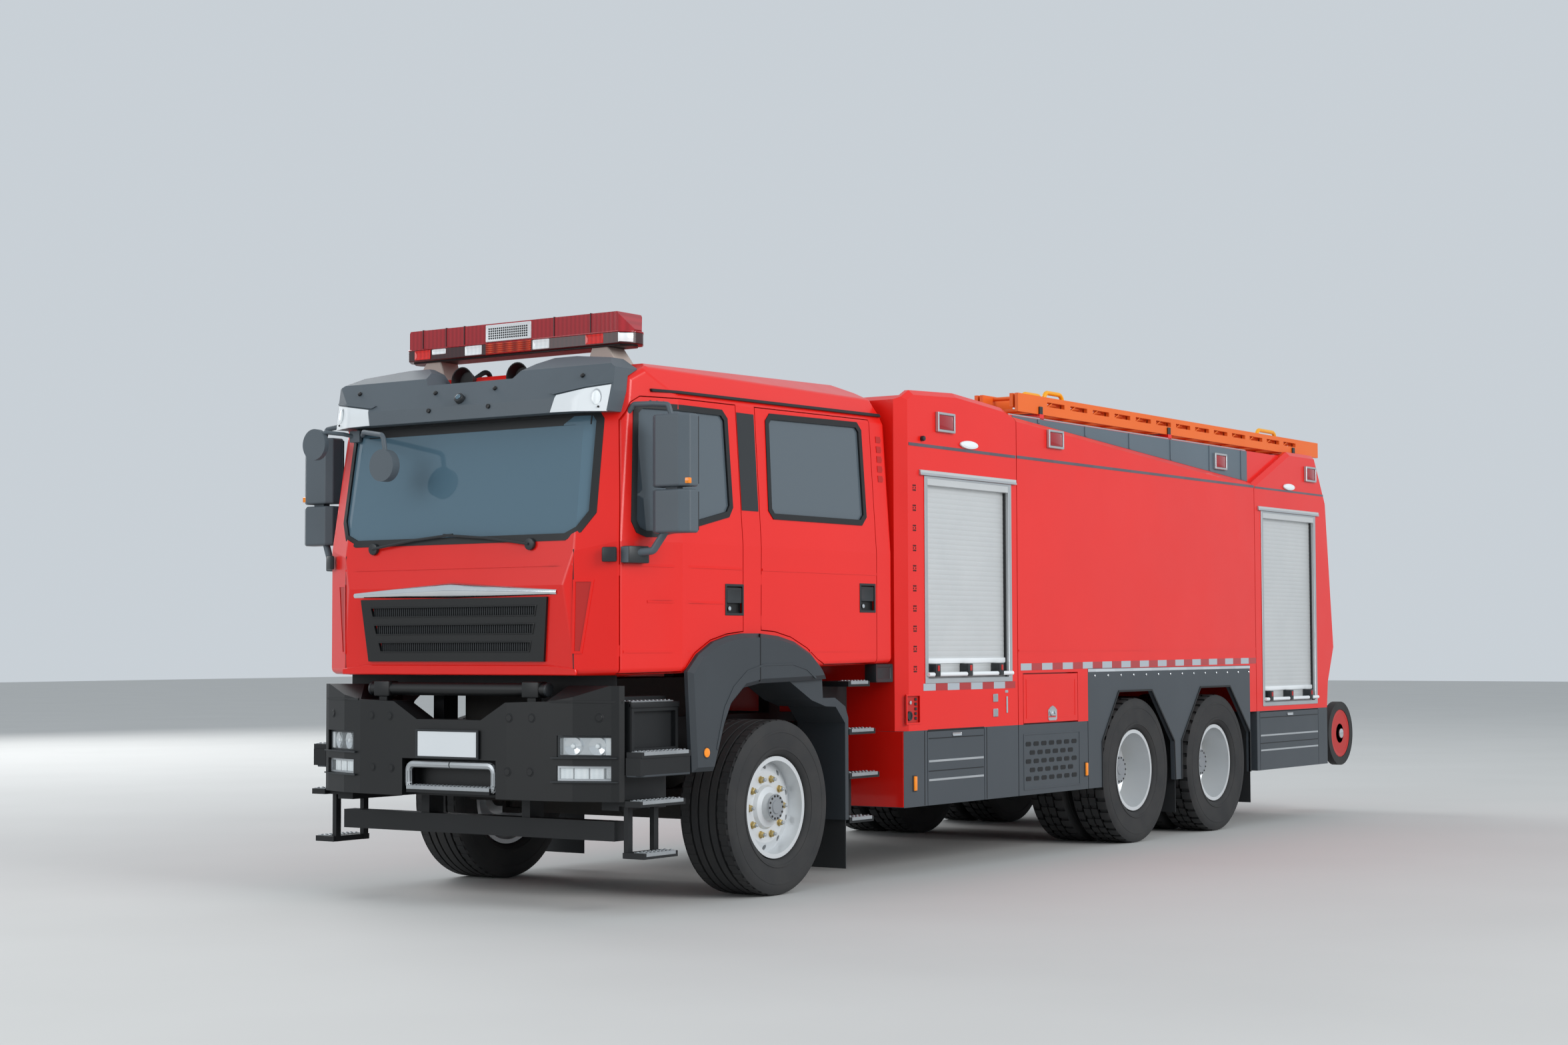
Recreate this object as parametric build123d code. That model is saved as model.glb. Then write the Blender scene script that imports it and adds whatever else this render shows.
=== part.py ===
from build123d import *
import os

# A six-wheeled foam fire truck with a crew cab. Sizes are in millimetres.
# X runs forward, Y to the truck's left, Z up from the ground. Stations along X are
# measured from the front axle, and each finished piece is moved once by ORIGIN_SHIFT,
# so that the part's origin lies on the ground at the middle of the overall length.

# Overall reach and running gear
FRONT_TIP = 1660.0
REAR_TIP = 8875.0
ORIGIN_SHIFT = (REAR_TIP - FRONT_TIP) / 2
WHEELBASE = 4600.0
TANDEM = 1400.0
FRONT_TYRE_R = 512.0
FRONT_TYRE_W = 372.0
FRONT_TRACK_Y = 1030.0
REAR_TYRE_R = 532.0
REAR_TYRE_W = 300.0
DUAL_Y = 910.0
DUAL_PITCH = 350.0
RIM_FLANGE_R = 298.0
RIM_SEAT_R = 284.0
RIM_WALL = 12.0
RIM_LIP = 14.0
FRONT_RIM_W = 300.0
SHOULDER = 36.0
REAR_RIM_W = 230.0
HUB_R = 118.0
HUB_BORE_R = 42.0
KINGPIN_Y = 800.0
KINGPIN_R = 24.0
RUN_GAP = 0.3
SEAT = 0.3
MOVE_GAP = 6.0
SEAM = 8.0

# Ladder frame and engine
RAIL_Y = 380.0
RAIL_W = 80.0
RAIL_LOW = 770.0
RAIL_HIGH = 1030.0
RAIL_WALL = 10.0
RAIL_FRONT = 1240.0
RAIL_REAR = -8120.0
UNDERRUN_Z = (392.0, 500.0)
UNDERRUN_X = (1220.0, 1310.0)
UNDERRUN_HALF = 1020.0

# Crew cab
CAB_HALF = 1200.0
CAB_WALL = 66.0
CAB_REAR = -1272.0
CAB_FLOOR = 1294.0
FLOOR_TOP = 1415.0
BELT = 2030.0
CAB_ROUND = 38.0
CAB_CREASE = 17.0
GLASS_INSET = 8.0
GLASS_THICK = 6.0

# Body behind the cab
BODY_HALF = 1250.0
BEYOND = BODY_HALF + 50
BODY_FRONT = -1308.0
BODY_REAR_LOW = -8186.0
SEAM_1 = -2776.0
SEAM_2 = -6720.0
BODY_LOW = RAIL_HIGH + SEAT
SKIRT_LOW = 436.0
SKIRT_HIGH = 915.0
LOCKER_IN = 560.0
DECK_Z = 3030.0
DECK_HALF = 1190.0
DOOR_SKIN = 40.0
STEP_SKIN = 45.0
RECESS = 55.0
CURTAIN_DEEP = 36.0

kept = {}


def keep(name, *solids):
    """Record the solids of one named piece."""
    kept.setdefault(name, []).extend(solids)


def block(x0, x1, y0, y1, z0, z1):
    """Box between two corners."""
    size = Box(abs(x1 - x0), abs(y1 - y0), abs(z1 - z0))
    return Pos((x0 + x1) / 2, (y0 + y1) / 2, (z0 + z1) / 2) * size


def side_prism(points, y0, y1):
    """Outline of (x, z) points, carried across from y0 to y1."""
    plane = Plane((0, y0, 0), x_dir=(1, 0, 0), z_dir=(0, -1, 0))
    return extrude(plane * make_face(Polyline(*points, close=True)), y1 - y0, dir=(0, 1, 0))


def cross_prism(points, x0, x1):
    """Outline of (y, z) points, carried along from x0 to x1."""
    plane = Plane((x0, 0, 0), x_dir=(0, 1, 0), z_dir=(1, 0, 0))
    return extrude(plane * make_face(Polyline(*points, close=True)), x1 - x0, dir=(1, 0, 0))


def plan_prism(points, z0, z1):
    """Outline of (x, y) points, carried up from z0 to z1."""
    return extrude(Pos(0, 0, z0) * make_face(Polyline(*points, close=True)), z1 - z0, dir=(0, 0, 1))


def turned(points):
    """Ring or disc about the Y axis from (radius, y) points."""
    return revolve(make_face(Polyline(*points, close=True)), axis=Axis.Y)


def rod(x, y0, y1, z, radius):
    """Round bar along Y."""
    return Pos(x, (y0 + y1) / 2, z) * Rot(90, 0, 0) * Cylinder(radius, abs(y1 - y0))


def post(x, y, z0, z1, radius):
    """Round bar along Z."""
    return Pos(x, y, (z0 + z1) / 2) * Cylinder(radius, z1 - z0)


def shaft(x0, x1, y, z, radius):
    """Round bar along X."""
    return Pos((x0 + x1) / 2, y, z) * Rot(0, 90, 0) * Cylinder(radius, abs(x1 - x0))


def tube_path(points, radius, bend):
    """Round bar along straight runs joined by bends."""
    line = FilletPolyline(*points, radius=bend)
    start = Plane(line @ 0, z_dir=line % 0)
    return sweep(start * Circle(radius), path=line)


def other_side(shape):
    """Copy on the truck's right."""
    return mirror(shape, about=Plane.XZ)


def both_sides(shape):
    return [shape, other_side(shape)]


# Wheels
def tyre(outer_r, width, rim_width):
    """Tyre about the Y axis, centred on its own middle plane, its beads between the rim's lips."""
    half = width / 2
    tread = half - SHOULDER
    bead = RIM_SEAT_R + RUN_GAP
    bead_y = rim_width / 2 - RIM_LIP - RUN_GAP
    wall_low = RIM_FLANGE_R + 10
    return turned([
        (outer_r, -tread), (outer_r, tread), (outer_r - SHOULDER, half), (wall_low, half - 18), (wall_low, bead_y),
        (bead, bead_y), (bead, -bead_y), (wall_low, -bead_y), (wall_low, -half + 18), (outer_r - SHOULDER, -half),
    ])


def rim_ring(width, inner_y):
    """Wheel rim from its outer lip at +width/2 to inner_y, without its disc."""
    half = width / 2
    return [
        (RIM_FLANGE_R, half), (RIM_FLANGE_R, half - RIM_LIP), (RIM_SEAT_R, half - RIM_LIP),
        (RIM_SEAT_R, inner_y + RIM_LIP), (RIM_FLANGE_R, inner_y + RIM_LIP), (RIM_FLANGE_R, inner_y),
        (RIM_SEAT_R - RIM_WALL, inner_y),
    ]


HAND_HOLES = 10
HAND_HOLE_R = 17.0
HAND_HOLE_AT = 238.0
FRONT_DISC_Y = 78.0
FRONT_HUB_NOSE = 150.0
HUB_BACK = -60.0


def hand_holes():
    """Ring of holes through a wheel's disc."""
    drill = Rot(90, 0, 0) * Cylinder(HAND_HOLE_R, 300)
    return [Rot(0, 360 / HAND_HOLES * (index + 0.5), 0) * Pos(HAND_HOLE_AT, 0, 0) * drill for index in range(HAND_HOLES)]


def front_wheel():
    """Steel disc wheel with its hub, outboard towards +Y."""
    inner = RIM_SEAT_R - RIM_WALL
    half = FRONT_RIM_W / 2
    points = rim_ring(FRONT_RIM_W, -half) + [
        (inner, FRONT_DISC_Y - 44), (HUB_R, FRONT_DISC_Y - 14), (HUB_R, HUB_BACK), (HUB_BORE_R, HUB_BACK),
        (HUB_BORE_R, FRONT_DISC_Y), (0, FRONT_DISC_Y), (0, FRONT_HUB_NOSE), (70, FRONT_HUB_NOSE),
        (84, FRONT_DISC_Y + 30), (HUB_R, FRONT_DISC_Y + 20), (HUB_R + 14, FRONT_DISC_Y),
        (210, FRONT_DISC_Y), (inner, FRONT_DISC_Y - 26), (inner, half),
    ]
    wheel = turned(points)
    for hole in hand_holes():
        wheel -= hole
    return wheel


def rear_wheel():
    """Two rims bolted back to back on one hub, outboard towards +Y."""
    inner = RIM_SEAT_R - RIM_WALL
    near = (DUAL_PITCH - REAR_RIM_W) / 2
    far = near + REAR_RIM_W
    disc = 14.0
    points = [
        (RIM_FLANGE_R, far), (RIM_FLANGE_R, far - RIM_LIP), (RIM_SEAT_R, far - RIM_LIP),
        (RIM_SEAT_R, near + RIM_LIP), (RIM_FLANGE_R, near + RIM_LIP), (RIM_FLANGE_R, near),
        (inner - 12, near), (225, disc), (225, -disc), (inner - 12, -near),
        (RIM_FLANGE_R, -near), (RIM_FLANGE_R, -near - RIM_LIP), (RIM_SEAT_R, -near - RIM_LIP),
        (RIM_SEAT_R, -far + RIM_LIP), (RIM_FLANGE_R, -far + RIM_LIP), (RIM_FLANGE_R, -far),
        (inner, -far), (inner, -near - 12), (205, -disc), (HUB_R + 12, -disc), (HUB_R + 12, -150),
        (AXLE_TUBE_R + RUN_GAP, -150), (AXLE_TUBE_R + RUN_GAP, 120), (0, 120), (0, 175),
        (95, 175), (110, 160), (HUB_R, disc), (205, disc), (inner, near + 12), (inner, far),
    ]
    wheel = turned(points)
    for hole in hand_holes():
        wheel -= hole
    return wheel


AXLE_TUBE_R = 62.0
REAR_AXLES = (("1", -WHEELBASE), ("2", -WHEELBASE - TANDEM))

for side, sign in (("left", 1), ("right", -1)):
    tyre_front = Pos(0, FRONT_TRACK_Y, FRONT_TYRE_R) * tyre(FRONT_TYRE_R, FRONT_TYRE_W, FRONT_RIM_W)
    rim_front = Pos(0, FRONT_TRACK_Y, FRONT_TYRE_R) * front_wheel()
    keep("front_tyre_" + side, tyre_front if sign > 0 else other_side(tyre_front))
    keep("front_wheel_" + side, rim_front if sign > 0 else other_side(rim_front))
    for number, x in REAR_AXLES:
        place = Pos(x, DUAL_Y, REAR_TYRE_R)
        twin = tyre(REAR_TYRE_R, REAR_TYRE_W, REAR_RIM_W)
        pair = [place * Pos(0, shift, 0) * twin for shift in (-DUAL_PITCH / 2, DUAL_PITCH / 2)]
        rims = place * rear_wheel()
        keep("rear_tyres_" + number + "_" + side, *(pair if sign > 0 else [other_side(one) for one in pair]))
        keep("rear_wheel_" + number + "_" + side, rims if sign > 0 else other_side(rims))

# Steering knuckles: a fork about the axle's eye, and the spindle that carries the hub
EYE_R = 52.0
EYE_HALF = 62.0
FORK_ARM = 34.0
FORK_BACK_Y = KINGPIN_Y + EYE_R + 8


def knuckle():
    z = FRONT_TYRE_R
    top = z + EYE_HALF + 5
    low = z - EYE_HALF - 5
    fork = block(-45, 45, KINGPIN_Y - 45, FORK_BACK_Y + 30, top, top + FORK_ARM)
    fork += block(-45, 45, KINGPIN_Y - 45, FORK_BACK_Y + 30, low - FORK_ARM, low)
    fork += block(-45, 45, FORK_BACK_Y, FORK_BACK_Y + 30, low - 1, top + 1)
    fork += post(0, KINGPIN_Y, low - FORK_ARM, top + FORK_ARM, KINGPIN_R)
    hub_back = FRONT_TRACK_Y + HUB_BACK
    fork += rod(0, FORK_BACK_Y + 20, hub_back - 6, z, HUB_BORE_R + 22)
    fork += rod(0, FORK_BACK_Y + 20, FRONT_TRACK_Y + FRONT_DISC_Y - 8, z, HUB_BORE_R - RUN_GAP)
    fork += block(-190, -40, KINGPIN_Y - 30, KINGPIN_Y + 20, low - FORK_ARM, low)
    return fork


keep("knuckle_left", knuckle())
keep("knuckle_right", other_side(knuckle()))

# Axles: the dropped front beam and two drive axles
BEAM_Z = (FRONT_TYRE_R - 90, FRONT_TYRE_R - 5)
half_beam = cross_prism([
    (0, BEAM_Z[0]), (560, BEAM_Z[0]), (KINGPIN_Y - 60, FRONT_TYRE_R - EYE_HALF), (KINGPIN_Y, FRONT_TYRE_R - EYE_HALF),
    (KINGPIN_Y, FRONT_TYRE_R + EYE_HALF), (KINGPIN_Y - 90, FRONT_TYRE_R + EYE_HALF), (580, BEAM_Z[1]), (0, BEAM_Z[1]),
], -50, 50)
half_beam += post(0, KINGPIN_Y, FRONT_TYRE_R - EYE_HALF, FRONT_TYRE_R + EYE_HALF, EYE_R)
half_beam -= post(0, KINGPIN_Y, FRONT_TYRE_R - 200, FRONT_TYRE_R + 200, KINGPIN_R + RUN_GAP)
keep("axles", half_beam + other_side(half_beam))
for number, x in REAR_AXLES:
    spindle_end = DUAL_Y + 110
    housing = rod(x, -spindle_end, spindle_end, REAR_TYRE_R, AXLE_TUBE_R)
    housing += block(x - 75, x + 75, -520, 520, REAR_TYRE_R - 80, REAR_TYRE_R + 80)
    housing += rod(x, -150, 150, REAR_TYRE_R, 195)
    housing += shaft(x, x + 300, 0, REAR_TYRE_R + 40, 80)
    keep("axles", housing)

# Leaf springs: one pack above each front wheel's beam seat, one bogie pack per side at the back
SPRING_Y = (RAIL_Y - 40, RAIL_Y + 40)
front_spring_low = BEAM_Z[1] + SEAT
rear_mid = -WHEELBASE - TANDEM / 2
rear_spring_low = REAR_TYRE_R + 80 + SEAT
front_spring = side_prism([
    (-120, front_spring_low), (120, front_spring_low), (780, RAIL_LOW - 90), (800, RAIL_LOW - SEAT), (740, RAIL_LOW - SEAT),
    (120, front_spring_low + 90), (-120, front_spring_low + 90), (-740, RAIL_LOW - SEAT), (-800, RAIL_LOW - SEAT),
    (-780, RAIL_LOW - 90),
], *SPRING_Y)
half_bogie = TANDEM / 2
rear_spring = side_prism([
    (rear_mid - half_bogie - 90, rear_spring_low), (rear_mid - half_bogie + 60, rear_spring_low),
    (rear_mid - 160, RAIL_LOW - 100), (rear_mid + 160, RAIL_LOW - 100),
    (rear_mid + half_bogie - 60, rear_spring_low), (rear_mid + half_bogie + 90, rear_spring_low),
    (rear_mid + half_bogie + 90, rear_spring_low + 40), (rear_mid + 160, RAIL_LOW - SEAT),
    (rear_mid - 160, RAIL_LOW - SEAT), (rear_mid - half_bogie - 90, rear_spring_low + 40),
], *SPRING_Y)
keep("leaf_springs", *both_sides(front_spring), *both_sides(rear_spring))

# Ladder frame with cross members
CROSS_STATIONS = (RAIL_FRONT - 60, -1150, -2400, -3600, rear_mid, -7000, RAIL_REAR + 60)
rail = block(RAIL_REAR, RAIL_FRONT, RAIL_Y - RAIL_W / 2, RAIL_Y + RAIL_W / 2, RAIL_LOW, RAIL_HIGH)
rail -= block(
    RAIL_REAR - 1, RAIL_FRONT + 1, RAIL_Y - RAIL_W / 2 - 1, RAIL_Y + RAIL_W / 2 - RAIL_WALL,
    RAIL_LOW + RAIL_WALL, RAIL_HIGH - RAIL_WALL,
)
frame = rail + other_side(rail)
for x in CROSS_STATIONS:
    reach = RAIL_Y + RAIL_W / 2 - RAIL_WALL
    frame += block(x - 40, x + 40, -reach, reach, RAIL_LOW + RAIL_WALL, RAIL_HIGH - RAIL_WALL)
# Underrun beam on its hangers, rear beam on its hangers and tow jaw, all bolted to the ladder frame
front_beam = block(*UNDERRUN_X, -UNDERRUN_HALF, UNDERRUN_HALF, *UNDERRUN_Z)
REAR_BEAM_Z = (445.0, 600.0)
rear_beam = block(BODY_REAR_LOW, RAIL_REAR - 20, -LOCKER_IN + 5, LOCKER_IN - 5, *REAR_BEAM_Z)
for sign in (1, -1):
    hanger_y = sign * RAIL_Y
    front_beam += block(RAIL_FRONT - 60, UNDERRUN_X[1], hanger_y - 30, hanger_y + 30, *UNDERRUN_Z)
    front_beam += block(RAIL_FRONT - 60, RAIL_FRONT + 60, hanger_y - 30, hanger_y + 30, UNDERRUN_Z[0], RAIL_LOW - SEAT)
    front_beam += block(RAIL_FRONT + SEAT, RAIL_FRONT + 60, hanger_y - 30, hanger_y + 30, UNDERRUN_Z[1], RAIL_LOW + 60)
    rear_beam += block(RAIL_REAR - 30, RAIL_REAR - SEAT, hanger_y - 30, hanger_y + 30, REAR_BEAM_Z[0], RAIL_LOW + 120)
TOW_PIN_R = 20.0
TOW_X = RAIL_REAR - 115
tow_jaw = block(RAIL_REAR - 165, RAIL_REAR + 20 - SEAT, -60, 60, RAIL_LOW + 40, RAIL_LOW + 190)
tow_jaw -= block(RAIL_REAR - 166, RAIL_REAR - 60, -61, 61, RAIL_LOW + 80, RAIL_LOW + 150)
tow_jaw -= post(TOW_X, 0, RAIL_LOW, RAIL_LOW + 250, TOW_PIN_R)
keep("frame_fittings", front_beam, rear_beam, tow_jaw)

# Air reservoirs below the cross members, fuel tank and silencer outside the rails
RESERVOIR_R = 100.0
for y in (-185, 185):
    reservoir = shaft(-3500, -2500, y, 655, RESERVOIR_R)
    for x in (-2400, -3600):
        reservoir += block(x - 30, x + 30, y - 30, y + 30, 640, RAIL_LOW + RAIL_WALL - SEAT)
        reservoir += block(x - 130, x + 130, y - 12, y + 12, 640, 670)
    keep("frame_fittings", reservoir)
TANK_X = (-1240.0, -660.0)
fuel_tank = block(*TANK_X, 460, 835, 560, 860)
silencer = shaft(*TANK_X, -650, 715, 140)
rail_side = RAIL_Y + RAIL_W / 2 + SEAT
for x in (-1150, -760):
    fuel_tank += block(x - 25, x + 25, rail_side, 640, RAIL_LOW + 40, RAIL_LOW + 80)
    silencer += block(x - 25, x + 25, -640, -rail_side, RAIL_LOW + 40, RAIL_LOW + 80)
keep("frame_fittings", fuel_tank, silencer)

# Engine, gearbox and propeller shaft as one plain mass between the rails
ENGINE_HALF = RAIL_Y - RAIL_W / 2 - 12
ENGINE_X = (-620.0, 1050.0)
engine_low = BEAM_Z[1] + 60
engine = block(*ENGINE_X, -ENGINE_HALF + 60, ENGINE_HALF - 60, engine_low, RAIL_LOW)
engine += block(*ENGINE_X, -ENGINE_HALF + 30, ENGINE_HALF - 30, RAIL_LOW - 1, CAB_FLOOR - 30)
engine += block(-1080, ENGINE_X[0] + 1, -190, 190, engine_low + 60, RAIL_HIGH - 60)
engine += block(200, 300, -RAIL_Y, RAIL_Y, RAIL_HIGH + SEAT, RAIL_HIGH + 50)
engine += shaft(-WHEELBASE + 300 + SEAT, -1080, 0, REAR_TYRE_R + 40, 50)
engine += block(-1080, -1000, -60, 60, REAR_TYRE_R - 20, RAIL_LOW)
keep("engine_block", engine)

# Cab form: a block cut back by planes. Each row gives three points on a plane, and
# whether the truck's right has the same plane mirrored.
CAB_PLANES = (
    ("front", (1462, 0, 1294), (1492, 0, 1750), (1492, 100, 1750), False),
    ("windscreen", (1462, 0, 2010), (1345, 0, 2790), (1345, 100, 2790), False),
    ("brow", (1345, 0, 2790), (1255, 0, 2930), (1255, 100, 2930), False),
    ("roof_front", (1255, 0, 2930), (1049, 0, 3035), (1049, 100, 3035), False),
    ("roof", (1049, 0, 3035), (-1080, 0, 3105), (-1080, 100, 3105), False),
    ("roof_rear", (-1080, 0, 3105), (-1215, 0, 3050), (-1215, 100, 3050), False),
    ("rear_top", (-1215, 0, 3050), (CAB_REAR, 0, 2900), (CAB_REAR, 100, 2900), False),
    ("rear", (CAB_REAR, 0, 2000), (CAB_REAR, 100, 2000), (CAB_REAR, 0, 2100), False),
    ("under", (1462, 0, CAB_FLOOR), (CAB_REAR, 0, CAB_FLOOR + 50), (CAB_REAR, 100, CAB_FLOOR + 50), False),
    ("side", (0, CAB_HALF, 1300), (100, CAB_HALF, 1300), (0, CAB_HALF, 2000), True),
    ("tumblehome", (0, CAB_HALF, BELT), (100, CAB_HALF, BELT), (0, 1145, 2850), True),
    ("roof_side", (0, 1145, 2850), (100, 1145, 2850), (0, 1065, 3010), True),
    ("roof_edge", (0, 1065, 3010), (100, 1065, 3010), (0, 850, 3112), True),
    ("corner", (1458, 880, 1500), (1354, 1090, 1500), (1458, 880, 1800), True),
    ("pillar", (1450, 880, BELT), (1354, 1090, BELT), (1330, 868, 2790), True),
    ("shoulder", (1354, 1090, 1500), (930, CAB_HALF, 1500), (930, CAB_HALF, 1800), True),
    ("door_front", (1354, 1090, BELT), (930, CAB_HALF, BELT), (1268, 1052, 2810), True),
)
CAB_MIDDLE = Vector(0, 0, 2100)


def cut_plane(p1, p2, p3, inset):
    """Plane through three points, facing out of the cab and moved in by inset."""
    normal = (Vector(*p2) - Vector(*p1)).cross(Vector(*p3) - Vector(*p1)).normalized()
    if normal.dot(Vector(*p1) - CAB_MIDDLE) < 0:
        normal = normal * -1
    return Plane(Vector(*p1) - normal * inset, z_dir=normal)


def cab_form(inset):
    """Outer form of the cab, with every face moved in by inset."""
    form = block(-1600, 1700, -1500, 1500, 1000, 3400)
    waste = Box(6000, 6000, 1500, align=(Align.CENTER, Align.CENTER, Align.MIN))
    for name, p1, p2, p3, mirrored in CAB_PLANES:
        cutter = cut_plane(p1, p2, p3, inset) * waste
        form -= cutter
        if mirrored:
            form -= other_side(cutter)
    return form


def bend_angle(edge, faces):
    """Angle in degrees between the two flat faces that meet at an edge."""
    normals = [face.normal_at() for face in faces if any(edge.is_same(side) for side in face.edges())]
    return normals[0].get_angle(normals[1])


def rounded_cab():
    """Outer form of the cab with its clear edges rounded."""
    form = cab_form(0)
    faces = form.faces()
    clear = [edge for edge in form.edges() if bend_angle(edge, faces) > CAB_CREASE]
    return fillet(clear, radius=CAB_ROUND)


def cab_layer(inset, thick):
    """Layer of the cab between two depths below its outer form."""
    return cab_form(inset) - cab_form(inset + thick)


# Cab mounts on the frame
for x in (1130, -1080):
    for sign in (1, -1):
        mount = block(x - 60, x + 60, sign * RAIL_Y - 40, sign * RAIL_Y + 40, RAIL_HIGH - 1, CAB_FLOOR + 60)
        frame += mount - cab_form(-SEAT)
keep("chassis_frame", frame)

# Door outlines in side view, as (x, z)
ARCH_LINE = ((926, 1313), (817, 1418), (673, 1488), (516, 1523), (380, 1536))
FRONT_DOOR = (
    (1350, 1306), (1350, BELT), (1272, 2700), (1226, 2800), (1158, 2838), (350, 2848), (350, 1538),
) + ARCH_LINE[::-1]
REAR_DOOR = (
    (172, 1546), (158, 2850), (-1084, 2868), (-1078, 1347), (-500, 1342), (-420, 1372), (-303, 1442),
    (-133, 1506), (33, 1538),
)
FRONT_WINDOW = (
    (1222, 2098), (1244, 2144), (1186, 2748), (1150, 2780), (498, 2784), (464, 2752), (458, 2256), (490, 2214),
    (1100, 2083), (1172, 2080),
)
REAR_WINDOW = (
    (18, 2223), (50, 2256), (32, 2768), (0, 2799), (-926, 2817), (-958, 2786), (-960, 2262), (-918, 2223),
)
WINDSCREEN = (
    (-790, 2050), (790, 2050), (880, 2090), (945, 2190), (935, 2706), (902, 2755), (-902, 2755), (-935, 2706),
    (-945, 2190), (-880, 2090),
)
# Inner face of the doors' lower half in plan, and the hinge pins of each leaf between two heights
DOOR_INNER = ((-1600, 900), (-1600, CAB_HALF - CAB_WALL), (921, CAB_HALF - CAB_WALL), (1349, 1023), (1349, 900))
HINGE_R = 3.2
HINGES = (
    ("front_door", 1349.5, 1084, 1400, 1460), ("front_door", 1349.5, 1084, 1840, 1900),
    ("rear_door", 168, 1197, 1570, 1630), ("rear_door", 168, 1197, 1810, 1870),
)


def grown(points, distance):
    """Outline moved outwards by a distance, with its corners kept sharp."""
    face = make_face(Polyline(*points, close=True))
    edge = offset(face, amount=distance, kind=Kind.INTERSECTION)
    ring = edge.faces()[0].outer_wire()
    return [(side.position_at(0).X, side.position_at(0).Y) for side in ring.order_edges()]


POCKET_DEEP = 24.0
DOORS = (
    ("front_door", FRONT_DOOR, FRONT_WINDOW, (352, 522, 1634, 1804)),
    ("rear_door", REAR_DOOR, REAR_WINDOW, (-1058, -890, 1664, 1834)),
)
skin = rounded_cab() - cab_form(CAB_WALL)
pane_layer = cab_layer(GLASS_INSET, GLASS_THICK)
cab = skin + (cab_form(CAB_WALL / 2) & block(-1600, 1700, -1500, 1500, CAB_FLOOR, FLOOR_TOP))
cab -= cross_prism(WINDSCREEN, 1000, 1700)
sill = plan_prism([(x, y - MOVE_GAP if y > 900 else y) for x, y in DOOR_INNER], 1200, FLOOR_TOP)
for name, outline, window, pocket in DOORS:
    hole = side_prism(grown(outline, MOVE_GAP / 2), 900, 1400) - sill
    cab -= hole
    cab -= other_side(hole)
    leaf = skin & side_prism(grown(outline, -MOVE_GAP / 2), 900, 1400)
    leaf -= side_prism(window, 900, 1400)
    leaf -= block(pocket[0], pocket[1], CAB_HALF - POCKET_DEEP, 1400, pocket[2], pocket[3])
    leaf -= plan_prism(DOOR_INNER, 1200, BELT)
    for door, x, y, low, high in HINGES:
        if door == name:
            leaf += post(x, y, low, high, HINGE_R)
    pane = pane_layer & side_prism(grown(window, -SEAT), 900, 1400)
    keep(name + "_left", leaf)
    keep(name + "_right", other_side(leaf))
    keep(name + "_glass_left", pane)
    keep(name + "_glass_right", other_side(pane))
keep("cab_shell", cab)
keep("windscreen", pane_layer & cross_prism(grown(WINDSCREEN, -SEAT), 1000, 1700))

# Cab interior: two front seats, a crew bench, and the dashboard with its wheel
SEAT_CUSHION_Z = FLOOR_TOP + 330
seats = []
for y in (-560, 560):
    seat = block(330, 850, y - 240, y + 240, FLOOR_TOP + SEAT, SEAT_CUSHION_Z)
    seat += side_prism([
        (330, SEAT_CUSHION_Z - 60), (470, SEAT_CUSHION_Z - 60), (400, SEAT_CUSHION_Z + 820),
        (300, SEAT_CUSHION_Z + 820),
    ], y - 230, y + 230)
    seats.append(seat)
bench = block(-1080, -520, -1000, 1000, FLOOR_TOP + SEAT, SEAT_CUSHION_Z)
for y in (-750, -250, 250, 750):
    bench += side_prism([
        (-1080, SEAT_CUSHION_Z - 60), (-940, SEAT_CUSHION_Z - 60), (-1020, SEAT_CUSHION_Z + 780),
        (-1110, SEAT_CUSHION_Z + 780),
    ], y - 200, y + 200)
keep("cab_seats", *seats, bench)
DASH_TOP = 1960.0
dash = block(1060, 1340, -960, 960, FLOOR_TOP + 250, DASH_TOP)
dash += block(1180, 1330, -300, 300, FLOOR_TOP + SEAT, FLOOR_TOP + 260)
STEER_WHEEL = (920.0, 560.0, 1990.0)
STEER_WHEEL_R = 220.0
STEER_TILT = 28.0
steer_place = Pos(*STEER_WHEEL) * Rot(0, -STEER_TILT, 0)
steering = steer_place * Torus(STEER_WHEEL_R, 17)
steering += steer_place * Box(50, 2 * STEER_WHEEL_R, 18)
steering += steer_place * Cylinder(60, 40)
steering += steer_place * Cylinder(32, 420, align=(Align.CENTER, Align.CENTER, Align.MAX))
keep("dashboard", dash + steering)

# Front of the cab: grille plate, sun visor, light bar
GRILLE_PLATE = 16.0
grille = cab_layer(-GRILLE_PLATE - SEAT, GRILLE_PLATE)
grille = grille & cross_prism([(-661, 1372), (661, 1372), (702, 1728), (-702, 1728)], 1300, 1700)
for z, reach in ((1430, 560), (1530, 590), (1630, 610)):
    slot = [(-reach, z), (reach, z), (reach + 12, z + 48), (-reach - 12, z + 48)]
    grille -= cross_prism(slot, 1300, 1600)
keep("front_grille", grille)
VISOR_REACH = 105.0
visor_outline = [
    (-1030, 2744), (-690, 2745), (690, 2745), (1030, 2744), (1046, 2860), (1044, 2990), (940, 3056), (640, 3090),
    (480, 3090), (400, 3055), (323, 2967), (-323, 2967), (-400, 3055), (-480, 3090), (-640, 3090),
    (-940, 3056), (-1044, 2990), (-1046, 2860),
]
visor = cab_layer(-VISOR_REACH, VISOR_REACH - SEAT) & cross_prism(visor_outline, 1130, 1600)
keep("sun_visor", visor)
BAR_X = (780.0, 1000.0)
BAR_HALF = 860.0
bar = cross_prism([
    (-BAR_HALF, 3250), (-800, 3178), (800, 3178), (BAR_HALF, 3250), (792, 3352), (-792, 3352),
], *BAR_X)
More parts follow.
